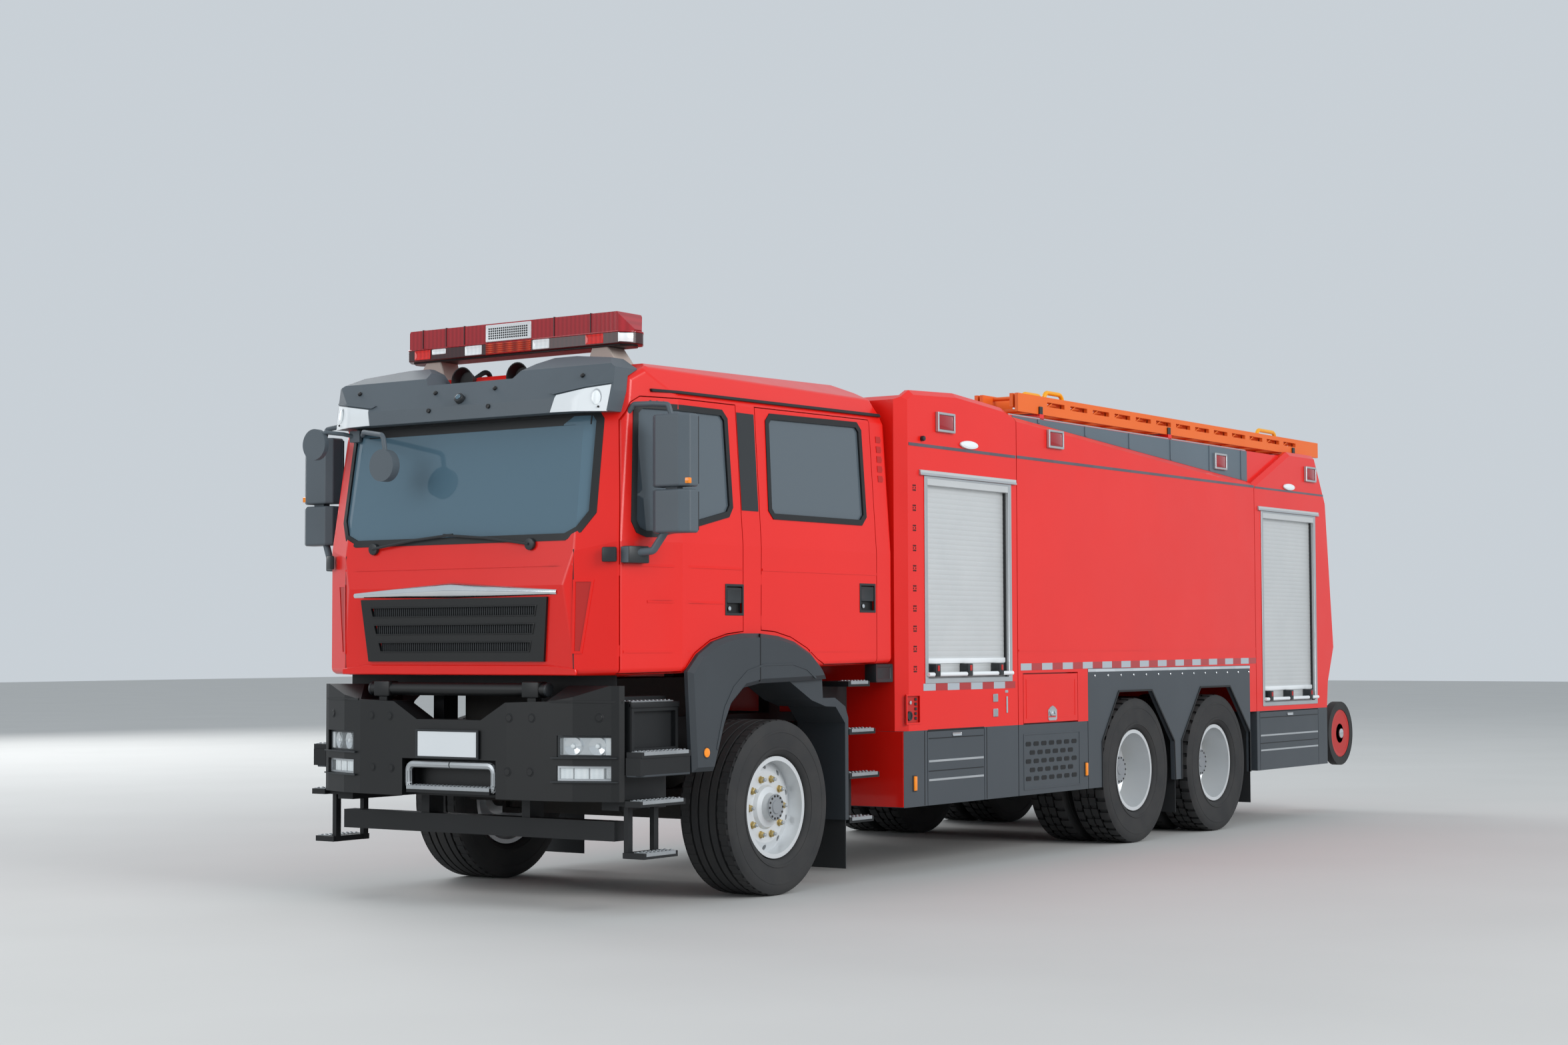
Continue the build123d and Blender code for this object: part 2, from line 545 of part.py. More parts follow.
bar = bar & plan_prism([
    (BAR_X[0], 800), (BAR_X[0] + 80, BAR_HALF), (BAR_X[1] - 80, BAR_HALF), (BAR_X[1], 800), (BAR_X[1], -800),
    (BAR_X[1] - 80, -BAR_HALF), (BAR_X[0] + 80, -BAR_HALF), (BAR_X[0], -800),
], 3100, 3400)
foot = cross_prism([(590, 3179), (680, 3179), (770, 3062), (770, 3020), (550, 3020), (550, 3062)], 820, 960)
foot -= cab_form(-SEAT)
keep("light_bar", bar + foot + other_side(foot))

# Mirrors on the front doors, and the kerb mirror before the windscreen
MIRROR_X = (1130.0, 1250.0)
MIRROR_Y = (1215.0, 1465.0)
MIRROR_Z = (2070.0, 2720.0)
MIRROR_ROUND = 14.0


MIRROR_SPLIT = (2308.0, 2322.0)


def mirror_head():
    """One door mirror: two shells over each other on a neck, with their arms and base."""
    head = plan_prism([(1165, 1300), (1165, 1380), (1215, 1380), (1215, 1300)], MIRROR_Z[0] + 100, MIRROR_Z[1] - 100)
    for low, high in ((MIRROR_Z[0], MIRROR_SPLIT[0]), (MIRROR_SPLIT[1], MIRROR_Z[1])):
        shell = plan_prism([
            (MIRROR_X[0], MIRROR_Y[0]), (MIRROR_X[0], MIRROR_Y[1]), (MIRROR_X[1] - 40, MIRROR_Y[1]),
            (MIRROR_X[1], MIRROR_Y[1] - 50), (MIRROR_X[1], MIRROR_Y[0] + 40), (MIRROR_X[1] - 30, MIRROR_Y[0]),
        ], low, high)
        head += fillet(shell.edges(), radius=MIRROR_ROUND)
    arms = tube_path([(1290, 1110, 1962), (1230, 1225, 1975), (1190, 1320, MIRROR_Z[0] + 60)], 21, 30)
    arms += tube_path([
        (1232, 1040, 2726), (1228, 1090, 2786), (1195, 1200, 2786), (1190, 1300, 2776), (1190, 1330, MIRROR_Z[1] - 30),
    ], 15, 20)
    base = plan_prism([(1344, 1040), (1346, 1143), (1208, 1178), (1200, 1100)], 1912, 1998)
    return head + (arms + base - cab_form(-SEAT))


keep("mirror_left", mirror_head())
keep("mirror_right", other_side(mirror_head()))
KERB_MIRROR = (1632.0, -398.0, 2490.0)
WIDE_MIRROR = (1500.0, -1082.0, 2652.0)
MIRROR_DISC_R = 92.0
kerb = Pos(*KERB_MIRROR) * Rot(0, 90, 0) * Cylinder(MIRROR_DISC_R, 2 * (FRONT_TIP - KERB_MIRROR[0]))
kerb += Pos(*WIDE_MIRROR) * Rot(0, 90, 0) * Cylinder(MIRROR_DISC_R, 32)
kerb += tube_path([
    (1624, -398, 2560), (1612, -430, 2668), (1500, -690, 2706), (1330, -868, 2704),
], 14, 45)
kerb += tube_path([(1345, -890, 2695), (1420, -935, 2712), (1495, -1010, 2722), (1500, -1070, 2680)], 12, 20)
kerb += block(1290, 1378, -925, -845, 2665, 2732)
kerb -= cab_form(-SEAT)
keep("kerb_mirror", kerb)

# Bumper with lamp recesses
BUMPER_Z = (612.0, 1152.0)
BUMPER_X = 1525.0
BUMPER_HALF = 1124.0
LAMP_Y = (765.0, 1066.0)
LAMP_BACK = 1352.0
LAMP_ROWS = (("head", 852.0, 970.0), ("fog", 722.0, 806.0))
STEP_HALF = 322.0
STEP_X = 1500.0
STEP_BACK = 1420.0
half_plan = [(BUMPER_X, 430), (1507, 700), (1474, 860), (1396, 1066), (1376, 1106), (1352, BUMPER_HALF)]
bumper_plan = half_plan + [(1336, 1100), (1330, 1040), (1380, 700)]
bumper = plan_prism([(x, -y) for x, y in bumper_plan[::-1]] + bumper_plan, *BUMPER_Z)
for sign in (1, -1):
    shoulder = side_prism([(1508, BUMPER_Z[1] - 1), (1400, 1240), (1320, 1240), (1320, BUMPER_Z[1] - 1)], 440, BUMPER_HALF)
    shoulder = shoulder & plan_prism(half_plan + [(1336, 1100), (1330, 1040), (1330, 440), (1516, 440)], 1100, 1300)
    bumper += shoulder if sign > 0 else other_side(shoulder)
bumper -= cross_prism([
    (-772, 1241), (-700, 1155), (-420, 1146), (-240, 1046), (240, 1046), (420, 1146), (700, 1155), (772, 1241),
], 1200, 1700)
bumper -= block(STEP_BACK, 1600, -STEP_HALF - 30, STEP_HALF + 30, 600, 824)
for sign in (1, -1):
    for label, low, high in LAMP_ROWS:
        bumper -= block(LAMP_BACK, 1600, sign * LAMP_Y[0], sign * LAMP_Y[1], low, high)
for sign in (1, -1):
    bumper += block(RAIL_FRONT + 60 + SEAT, 1400, sign * RAIL_Y - 40, sign * RAIL_Y + 40, 780, 960)
bumper += block(BUMPER_X - 1, BUMPER_X + 12, -228, 228, 836, 982)
bumper += rod(1440, -660, 660, 1216, 37)
for y in (-560, 560):
    bumper += block(1415, 1465, y - 30, y + 30, BUMPER_Z[1] - 40, 1200)
keep("front_bumper", bumper)
for sign in (1, -1):
    for label, low, high in LAMP_ROWS:
        lens = plan_prism([
            (LAMP_BACK + SEAT, LAMP_Y[0] + SEAT), (1484, LAMP_Y[0] + SEAT), (1460, 858), (1372, LAMP_Y[1] - SEAT),
            (LAMP_BACK + SEAT, LAMP_Y[1] - SEAT),
        ], low + SEAT, high - SEAT)
        keep("headlamps", lens if sign > 0 else other_side(lens))

# Tubular step with its tread in a recess of the bumper
step_tube = tube_path([
    (1400, -STEP_HALF, 792), (STEP_X, -STEP_HALF, 792), (STEP_X, -STEP_HALF, 650), (STEP_X, STEP_HALF, 650),
    (STEP_X, STEP_HALF, 792), (1400, STEP_HALF, 792),
], 19, 40)
step_tube += rod(STEP_X, -STEP_HALF + 10, STEP_HALF - 10, 792, 14)
step_tube -= block(1300, STEP_BACK + SEAT, -500, 500, 600, 900)
step_tread = block(STEP_X - 48, STEP_X + 32, -STEP_HALF + 10, STEP_HALF - 10, 632, 668)
keep("cab_steps", step_tube + step_tread)

# Wheel flares and mudguards of the front wheels
FLARE_OUT = 1250.0
FLARE_OUTLINE = (
    (877, 754), (918, 1313), (811, 1409), (670, 1479), (515, 1514), (380, 1527), (220, 1527), (33, 1512),
    (-133, 1479), (-303, 1410), (-413, 1328), (-472, 1256), (-326, 1250), (11, 1243), (221, 1239),
    (381, 1216), (516, 1121), (583, 1006), (628, 891), (672, 777), (680, 754),
)
GUARD_LINE = (
    (-90, 1258), (-330, 1262), (-460, 1262), (-470, 1140), (-600, 1140), (-715, 1085), (-748, 1015), (-748, 396),
    (-712, 396), (-712, 985), (-610, 1085), (-500, 1090), (-350, 1130),
)
GUARD_IN = 850.0
flare = side_prism(FLARE_OUTLINE, CAB_HALF + SEAT, FLARE_OUT)
flare_rim = [edge for edge in flare.edges() if abs(edge.center().Y - FLARE_OUT) < 1 and edge.length > 60]
flare = chamfer(flare_rim, length=26)
guard = side_prism(GUARD_LINE, GUARD_IN, CAB_HALF + SEAT + 1)
keep("front_fenders", *both_sides(flare + guard))

# Steps below the doors: front box with three treads and a folding one, open treads behind the wheel
FRONT_TREADS = ((1153, 905, 1355, 1130), (881, 905, 1345, 1238), (617, 955, 1358, 1238), (336, 1026, 1326, 1238))
REAR_TREADS = ((1236, -1003, -760, 1195), (943, -1057, -760, 1200), (673, -1100, -760, 1200), (404, -1033, -760, 1200))
TREAD = 32.0
BOX_FRONT_X = 1320.0
box_front = block(900, BOX_FRONT_X, 940, 1060, 560, 1180)
for z, x0, x1, reach in FRONT_TREADS[:3]:
    box_front += block(x0, x1, 1040, reach, z - TREAD, z)
box_front += block(905, BOX_FRONT_X, 1040, 1150, 860, 1125) - block(930, 1300, 1120, 1151, 900, 1100)
box_front += block(905, 1352, 1040, 1232, 755, 850)
box_front -= block(BOX_FRONT_X, 1400, 900, BUMPER_HALF + 8, 500, 1200)
low_front = FRONT_TREADS[3]
box_front += block(low_front[1], low_front[2], 1090, low_front[3], low_front[0] - TREAD, low_front[0])
for x in (1060, 1290):
    box_front += block(x - 20, x + 20, 1085, 1115, low_front[0] - TREAD, FRONT_TREADS[2][0] - 1)
box_front += block(1000, 1100, RAIL_Y + RAIL_W / 2 + SEAT, 941, 900, 980)
box_rear = block(-1100, -770, 900, 960, 560, 1236)
for z, x0, x1, reach in REAR_TREADS[:3]:
    box_rear += block(x0, x1, 950, reach, z - TREAD, z)
low_rear = REAR_TREADS[3]
box_rear += block(low_rear[1], low_rear[2], 1020, low_rear[3], low_rear[0] - TREAD, low_rear[0])
for x in (-990, -810):
    box_rear += block(x - 18, x + 18, 1020, 1050, low_rear[0] - TREAD, REAR_TREADS[2][0] - 1)
box_rear += block(-980, -900, RAIL_Y + RAIL_W / 2 + SEAT, 901, 900, 980)
keep("cab_steps", *both_sides(box_front), *both_sides(box_rear))

# Body sections: outlines in side view, as (x, z), cut away between the lockers for the frame
FRONT_TOP = (
    (BODY_FRONT, DECK_Z - 15), (-1440, DECK_Z + 52), (-1984, DECK_Z + 76), (-2374, DECK_Z + 49), (-2622, DECK_Z + 30),
    (SEAM_1, DECK_Z - 18),
)
SLOPE_LOW = DECK_Z - 264
REAR_EDGE = (
    (-7446, DECK_Z + 36), (-7992, DECK_Z + 36), (-8192, DECK_Z - 292), (-8347, 1431), (-8213, 1134),
    (BODY_REAR_LOW, SKIRT_HIGH),
)
FRAME_TUNNEL = 520.0
LADDER_X = (-8250.0, -2950.0)
RUNG_R = 14.0
LADDER_BEAMS = (("base", 1160.0, 840.0, 0.0), ("fly", 1118.0, 882.0, 2 * RUNG_R + 4 + SEAT))
LADDER_RESTS = (-3260.0, -5300.0)
SHUTTERS = (
    ("front", -2693.0, -1572.0, 1214.0, 2530.0), ("rear", -7968.0, -6842.0, 955.0, 2535.0),
)

body_front = side_prism([(BODY_FRONT, SKIRT_HIGH), *FRONT_TOP, (SEAM_1, SKIRT_HIGH)], -BODY_HALF, BODY_HALF)
body_front -= block(SEAM_1 - 10, BODY_FRONT + 10, -FRAME_TUNNEL, FRAME_TUNNEL, 0, BODY_LOW)
body_middle = side_prism([
    (SEAM_1 - SEAM, SKIRT_HIGH), (SEAM_1 - SEAM, DECK_Z - 20), (SEAM_2 + SEAM, SLOPE_LOW), (SEAM_2 + SEAM, SKIRT_HIGH),
], -BODY_HALF, BODY_HALF)
body_middle -= block(SEAM_2, SEAM_1, -FRAME_TUNNEL, FRAME_TUNNEL, 0, BODY_LOW)
body_middle += block(SEAM_2 + SEAM, SEAM_1 - SEAM, -DECK_HALF, DECK_HALF, BODY_LOW + 100, DECK_Z)
body_rear = side_prism([
    (SEAM_2, SKIRT_HIGH), (SEAM_2, SLOPE_LOW), *REAR_EDGE,
], -BODY_HALF, BODY_HALF)
for x in LADDER_RESTS:
    body_middle += block(x - 30, x + 30, LADDER_BEAMS[0][2] - 20, DECK_HALF - 2, DECK_Z - 1, REAR_EDGE[0][1])
body_rear -= block(-9000, SEAM_2 + 10, -FRAME_TUNNEL, FRAME_TUNNEL, 0, BODY_LOW)
body_rear += block(-7960, SEAM_2, -DECK_HALF, DECK_HALF, BODY_LOW + 100, DECK_Z)

# Sunk roof behind the parapets, and the bevel along the sides' top edges
PARAPET = 60.0
ROOF_WELL = DECK_Z - 70
TOP_BEVEL = 32.0
FRONT_BEVEL = 65.0
side_in = BODY_HALF - PARAPET
body_front -= block(SEAM_1 + PARAPET, BODY_FRONT - PARAPET, -side_in, side_in, ROOF_WELL, DECK_Z + 170)
body_rear -= block(-7850, -7400, -side_in, side_in, DECK_Z, DECK_Z + 170)


def bevelled(section):
    """Body section with the bevel along its two side top edges."""
    edges = [edge for edge in section.edges() if edge.center().Z > SLOPE_LOW and edge.length > 60]
    return chamfer([edge for edge in edges if abs(abs(edge.center().Y) - BODY_HALF) < 1], length=TOP_BEVEL)


body_front = bevelled(body_front)
for sign in (1, -1):
    body_front -= plan_prism([
        (BODY_FRONT + 1, sign * (BODY_HALF - FRONT_BEVEL - 1)), (BODY_FRONT + 1, sign * (BODY_HALF + 1)),
        (BODY_FRONT - FRONT_BEVEL - 1, sign * (BODY_HALF + 1)),
    ], SKIRT_HIGH - 1, DECK_Z + 170)
body_middle = bevelled(body_middle)
body_rear = bevelled(body_rear)

# Wheel arches behind the grey panels, open inwards to the frame
ARCH_PANEL_X = (-6588.0, -3793.0)
ARCH_PANEL_Z = 1288.0
ARCH_PANEL_SKIN = 30.0
ARCH_CEIL = 1200.0
body_middle -= block(*ARCH_PANEL_X, -BEYOND, BEYOND, 0, ARCH_CEIL)
for sign in (1, -1):
    body_middle -= block(*ARCH_PANEL_X, sign * (BODY_HALF - ARCH_PANEL_SKIN), sign * BEYOND, ARCH_CEIL - 1, ARCH_PANEL_Z)

# Shutters lie in shallow recesses: a curtain between two guide rails, with its lift bar, under a rain rail
GUIDE = 34.0
GUIDE_OUT = 4.0
for name, x0, x1, z0, z1 in SHUTTERS:
    for sign in (1, -1):
        recess = block(x0, x1, sign * (BODY_HALF - RECESS - 1), sign * BEYOND, z0, z1)
        back = BODY_HALF - RECESS - 1 + SEAT
        curtain = block(x0 + SEAT, x1 - SEAT, back, BODY_HALF - CURTAIN_DEEP, z0 + SEAT, z1 - SEAT)
        curtain += block(x0 + SEAT, x0 + GUIDE, back, BODY_HALF + GUIDE_OUT, z0 + SEAT, z1 - SEAT)
        curtain += block(x1 - GUIDE, x1 - SEAT, back, BODY_HALF + GUIDE_OUT, z0 + SEAT, z1 - SEAT)
        curtain += block(x0 + GUIDE - 1, x1 - GUIDE + 1, back, BODY_HALF + GUIDE_OUT, z1 - 46, z1 - SEAT)
        curtain += block(x0 + GUIDE + 20, x1 - GUIDE - 20, back, BODY_HALF - 12, z0 + 42, z0 + 66)
        rain = block(x0 - 60, x1 + 60, BODY_HALF + SEAT, BODY_HALF + 14, z1 + 16, z1 + 45)
        keep("roller_shutters", rain if sign > 0 else other_side(rain))
        if name == "front":
            body_front -= recess
        else:
            body_rear -= recess
        keep("roller_shutters", curtain if sign > 0 else other_side(curtain))

# Rear shutter in the leaning back wall, beside the access ladder
REAR_SHUTTER_Y = (-1080.0, 250.0)


def back_wall(high, low, depth):
    """Side view of a slab on the leaning back wall, between two shares of its height."""
    top, foot = Vector(*REAR_EDGE[2]), Vector(*REAR_EDGE[3])
    run = foot - top
    inward = Vector(-run.Y, run.X).normalized() * -1
    start, end = top + run * high, top + run * low
    corners = (start + inward * depth[0], start + inward * depth[1], end + inward * depth[1], end + inward * depth[0])
    return [(point.X, point.Y) for point in corners]


body_rear -= side_prism(back_wall(0.05, 0.96, (-80, RECESS)), *REAR_SHUTTER_Y)
seated = (REAR_SHUTTER_Y[0] + SEAT, REAR_SHUTTER_Y[1] - SEAT)
rear_curtain = side_prism(back_wall(0.0503, 0.9597, (CURTAIN_DEEP, RECESS - SEAT)), *seated)
for y0, y1 in ((seated[0], seated[0] + GUIDE), (seated[1] - GUIDE, seated[1])):
    rear_curtain += side_prism(back_wall(0.0503, 0.9597, (-GUIDE_OUT, RECESS - SEAT)), y0, y1)
rear_curtain += side_prism(back_wall(0.0503, 0.08, (-GUIDE_OUT, RECESS - SEAT)), *seated)
rear_curtain += side_prism(back_wall(0.91, 0.93, (12, RECESS - SEAT)), seated[0] + GUIDE + 20, seated[1] - GUIDE - 20)
keep("roller_shutters", rear_curtain)

# Control panel recess at the front edge of the left side
body_front -= block(-1508, -1346, BODY_HALF - 16, BEYOND, 961, 1141)

# Pins at both ends of a leaf that turns about an axis along X, and the bores they sit in
PIN_R = 6.0
PIN_IN = 8.0
PIN_REACH = 18.0


def hinge_pins(x0, x1, y, z, gap):
    """Pins from the walls beside a leaf between x0 and x1, and the bores they need in the leaf."""
    pins = [shaft(x0 - gap - 1, x0 + PIN_REACH, y, z, PIN_R), shaft(x1 + gap + 1, x1 - PIN_REACH, y, z, PIN_R)]
    deep = PIN_REACH + SEAT
    bores = [shaft(x0 - 1, x0 + deep, y, z, PIN_R + RUN_GAP), shaft(x1 + 1, x1 - deep, y, z, PIN_R + RUN_GAP)]
    return pins, bores


# Upper door of the middle section: hinged along its top edge, over an open locker
LOCKER_DEPTH = 420.0
DOOR_TOP_GAP = 9.0
BOX_DOOR = (-3642.0, -2849.0, 918.0, 1265.0)
x0, x1, z0, z1 = BOX_DOOR
for sign in (1, -1):
    body_middle -= block(x0, x1, sign * (BODY_HALF - DOOR_SKIN - MOVE_GAP), sign * BEYOND, z0 - 10, z1)
    body_middle -= block(x0 + 40, x1 - 40, sign * (BODY_HALF - LOCKER_DEPTH), sign * BEYOND, z0 + 40, z1 - 40)
leaf_top = z1 - DOOR_TOP_GAP
leaf = block(x0 + MOVE_GAP, x1 - MOVE_GAP, BODY_HALF - DOOR_SKIN, BODY_HALF, z0 + MOVE_GAP, leaf_top)
pins, bores = hinge_pins(x0 + MOVE_GAP, x1 - MOVE_GAP, BODY_HALF - PIN_IN, leaf_top - PIN_IN, MOVE_GAP)
for pin, bore in zip(pins, bores):
    body_middle += pin
    body_middle += other_side(pin)
    leaf -= bore
keep("box_door_left", leaf)
keep("box_door_right", other_side(leaf))
keep("body_front", body_front)
keep("body_middle", body_middle)
keep("body_rear", body_rear)

# Grey lower panels: lockers below the red body, and the arch panels round the rear wheels
SKIRT_TOP = SKIRT_HIGH - SEAT
STEP_PANELS = (("front", -2315.0, -1600.0, 436.0, 905.0), ("rear", -7985.0, -6780.0, 436.0, 905.0))
SKIRTS = (("front", SEAM_1, BODY_FRONT), ("middle", ARCH_PANEL_X[1] + SEAM, SEAM_1 - SEAM), ("rear", BODY_REAR_LOW, SEAM_2))
for name, x0, x1 in SKIRTS:
    skirt = block(x0, x1, LOCKER_IN, BODY_HALF, SKIRT_LOW, SKIRT_TOP)
    for panel, p0, p1, z0, z1 in STEP_PANELS:
        if panel == name:
            skirt -= block(p0 - MOVE_GAP, p1 + MOVE_GAP, BODY_HALF - STEP_SKIN - MOVE_GAP, BEYOND, z0 - 10, z1 + MOVE_GAP)
            flap = block(p0, p1, BODY_HALF - STEP_SKIN, BODY_HALF, z0, z1)
            pins, bores = hinge_pins(p0, p1, BODY_HALF - PIN_IN, z0 + PIN_IN, MOVE_GAP)
            for pin, bore in zip(pins, bores):
                skirt += pin
                flap -= bore
            keep("fold_step_" + name + "_left", flap)
            keep("fold_step_" + name + "_right", other_side(flap))
    keep("lower_panels", *both_sides(skirt))
ARCH_1 = ((-4010, 430), (-4010, 760), (-4274, 1112), (-4806, 1112), (-5177, 727), (-5195, 430))
ARCH_2 = ((-5320, 430), (-5320, 727), (-5660, 1120), (-6194, 1120), (-6571, 750), (-6571, 430))
arch_panel = block(*ARCH_PANEL_X, BODY_HALF - ARCH_PANEL_SKIN + SEAT, BODY_HALF, SKIRT_LOW, ARCH_PANEL_Z - SEAT)
arch_panel -= side_prism([(x, z if z > 430 else 300) for x, z in ARCH_1], BODY_HALF - 150, BEYOND)
arch_panel -= side_prism([(x, z if z > 430 else 300) for x, z in ARCH_2], BODY_HALF - 150, BEYOND)
keep("lower_panels", *both_sides(arch_panel))

# Mud flaps of rubber sheet
FLAPS = ((-5258.0, 1000.0), (-6640.0, SKIRT_HIGH - SEAT))
for x, flap_top in FLAPS:
    flap = block(x - 4, x + 4, 690, BODY_HALF - ARCH_PANEL_SKIN, 185, flap_top)
    keep("mud_flaps", *both_sides(flap))
guard_flap = block(-735, -727, 860, 1190, 100, 396 - SEAT)
keep("mud_flaps", *both_sides(guard_flap))

# Roof: ladder in two sections, grab rails, monitor
BEAM_W = 26.0
BEAM_Z0 = REAR_EDGE[0][1] + SEAT
BEAM_H = 128.0
RUNG_PITCH = 345.0
for name, y_out, y_in, lift in LADDER_BEAMS:
    ladder = None
    for y in (y_out, y_in):
        beam = block(*LADDER_X, y - BEAM_W / 2, y + BEAM_W / 2, BEAM_Z0 + lift, BEAM_Z0 + BEAM_H)
        for index in range(13):
            x = LADDER_X[1] - 420 - index * RUNG_PITCH
            beam -= block(x - RUNG_PITCH + 90, x, y - 30, y + 30, BEAM_Z0 + 62, BEAM_Z0 + BEAM_H - 34)
        ladder = beam if ladder is None else ladder + beam
    rung_z = BEAM_Z0 + (RUNG_R + 4 if name == "base" else BEAM_H - 20)
    for index in range(15):
        x = LADDER_X[1] - 150 - index * RUNG_PITCH
        ladder += rod(x, y_in, y_out, rung_z, RUNG_R)
    keep("roof_ladder", ladder)
RAIL_TUBE = 17.0
HOOP_Y = 760.0
for x, height in ((-3890.0, 250.0), (-4220.0, 285.0)):
    hoop = tube_path([
        (x - 140, HOOP_Y, DECK_Z + SEAT), (x - 140, HOOP_Y, DECK_Z + height), (x + 140, HOOP_Y, DECK_Z + height),
        (x + 140, HOOP_Y, DECK_Z + SEAT),
    ], RAIL_TUBE, 55)
    keep("grab_rails", hoop)

# Rear access ladder: its two stiles bend over on to the roof as grab rails
CLIMB_Y = (HOOP_Y, 360.0)
CLIMB_OFF = 95.0
CLIMB_LOW = 1260.0
CLIMB_TOP = DECK_Z + 280
CLIMB_HIGH = DECK_Z - 330
climb = None
for y in CLIMB_Y:
    stile = tube_path([
        (-7900, y, REAR_EDGE[0][1] + SEAT), (-7900, y, CLIMB_TOP), (-8290, y, CLIMB_TOP), (-8192 - CLIMB_OFF, y, CLIMB_HIGH),
        (-8347 - CLIMB_OFF, y, 1440), (-8420, y, CLIMB_LOW),
    ], RAIL_TUBE, 60)
    climb = stile if climb is None else climb + stile
for index in range(5):
    share = (index + 0.5) / 5
    rung_z = CLIMB_HIGH - share * (CLIMB_HIGH - 1440)
    rung_x = -8192 - CLIMB_OFF - share * (8347 - 8192)
    climb += rod(rung_x, CLIMB_Y[1], CLIMB_Y[0], rung_z, 13)
for index in (0, 4):
    share = (index + 0.5) / 5
    rung_z = CLIMB_HIGH - share * (CLIMB_HIGH - 1440)
    rung_x = -8192 - CLIMB_OFF - share * (8347 - 8192)
    for y in CLIMB_Y:
        climb += block(rung_x, rung_x + 120, y - 12, y + 12, rung_z - 12, rung_z + 12)
climb -= side_prism([
    (SEAM_2, 900), (SEAM_2, SLOPE_LOW - 166), *[(x - SEAT, z) for x, z in REAR_EDGE[1:]],
], -BODY_HALF, BODY_HALF)
keep("grab_rails", *climb.solids())
MONITOR_X = -6950.0
MONITOR_Z = DECK_Z + 330
turret = post(MONITOR_X, 0, DECK_Z + SEAT, DECK_Z + 24, 130)
turret += post(MONITOR_X, 0, DECK_Z + 20, DECK_Z + 200, 72)
turret += post(MONITOR_X, 0, DECK_Z + 150, DECK_Z + 200, 98)
turret += block(MONITOR_X - 60, MONITOR_X + 60, -85, -62, DECK_Z + 190, MONITOR_Z + 50)
turret += block(MONITOR_X - 60, MONITOR_X + 60, 62, 85, DECK_Z + 190, MONITOR_Z + 50)
keep("monitor_turret", turret)
barrel = shaft(MONITOR_X - 360, MONITOR_X + 61, 0, MONITOR_Z, 44)
barrel += rod(MONITOR_X, -62 + SEAT, 62 - SEAT, MONITOR_Z, 40)
barrel += shaft(MONITOR_X - 420, MONITOR_X - 350, 0, MONITOR_Z, 56)
barrel += shaft(MONITOR_X - 540, MONITOR_X - 419, 0, MONITOR_Z, 70)
barrel += shaft(MONITOR_X + 60, MONITOR_X + 75, 0, MONITOR_Z, 60)
barrel -= shaft(MONITOR_X - 541, MONITOR_X - 440, 0, MONITOR_Z, 52)
keep("monitor_barrel", barrel)

# Hose cart hung on the rear: frame arms and the reel with its two wheels on one axle
CART_X = -8600.0
CART_R = REAR_TIP + CART_X
CART_Z = 680.0
CART_WHEEL_Y = (1170.0, 260.0)
CART_TYRE_W = 66.0
CART_DISC_R = 206.0
DRUM_Y = (360.0, 1070.0)
frame_arms = None
for y in (315.0, 1115.0):
    arm = block(CART_X - 30, BODY_REAR_LOW - SEAT, y - 15, y + 15, CART_Z - 30, CART_Z + 30)
    arm -= rod(CART_X, y - 20, y + 20, CART_Z, 20 + RUN_GAP)
    arm += block(BODY_REAR_LOW - 40, BODY_REAR_LOW - SEAT, y - 15, y + 15, 460, CART_Z + 200)
    frame_arms = arm if frame_arms is None else frame_arms + arm
frame_arms += block(BODY_REAR_LOW - 40, BODY_REAR_LOW - 6, 314, 1116, 460, 520)
frame_arms += block(BODY_REAR_LOW - 40, BODY_REAR_LOW - 6, 314, 1116, CART_Z + 160, CART_Z + 200)
keep("cart_frame", frame_arms)
reel = rod(CART_X, CART_WHEEL_Y[1] - 60, CART_WHEEL_Y[0] + 30, CART_Z, 20)
for y in CART_WHEEL_Y:
    reel += rod(CART_X, y - CART_TYRE_W / 2 + 8, y + CART_TYRE_W / 2 - 8, CART_Z, CART_DISC_R)
    hoop = rod(CART_X, y - CART_TYRE_W / 2, y + CART_TYRE_W / 2, CART_Z, CART_R)
    keep("cart_tyres", hoop - rod(CART_X, y - CART_TYRE_W, y + CART_TYRE_W, CART_Z, CART_DISC_R + SEAT))
reel += rod(CART_X, DRUM_Y[0], DRUM_Y[1], CART_Z, 190)
for y in DRUM_Y:
    reel += rod(CART_X, y - 8, y + 8, CART_Z, 240)
keep("cart_reel", reel)

os.makedirs("parts", exist_ok=True)
for name, solids in kept.items():
    pieces = [piece for shape in solids for piece in shape.solids()]
    whole = Compound(children=pieces) if len(pieces) > 1 else pieces[0]
    export_step(Pos(ORIGIN_SHIFT, 0, 0) * whole, "parts/" + name + ".step")
print(len(kept), "pieces, front axle at x", ORIGIN_SHIFT)
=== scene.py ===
# %% [markdown]
# # Foam fire truck
# The solids of the truck come from its CAD model and are never moved. This file gives them their
# finishes, and adds what is too fine for the solids: lamps, slats, treads, nuts, seals and rails.
# Stations along X are counted in millimetres from the front axle, as in the CAD source.

# %% Load the frame
import math

import bmesh
import bpy
from mathutils import Matrix, Vector


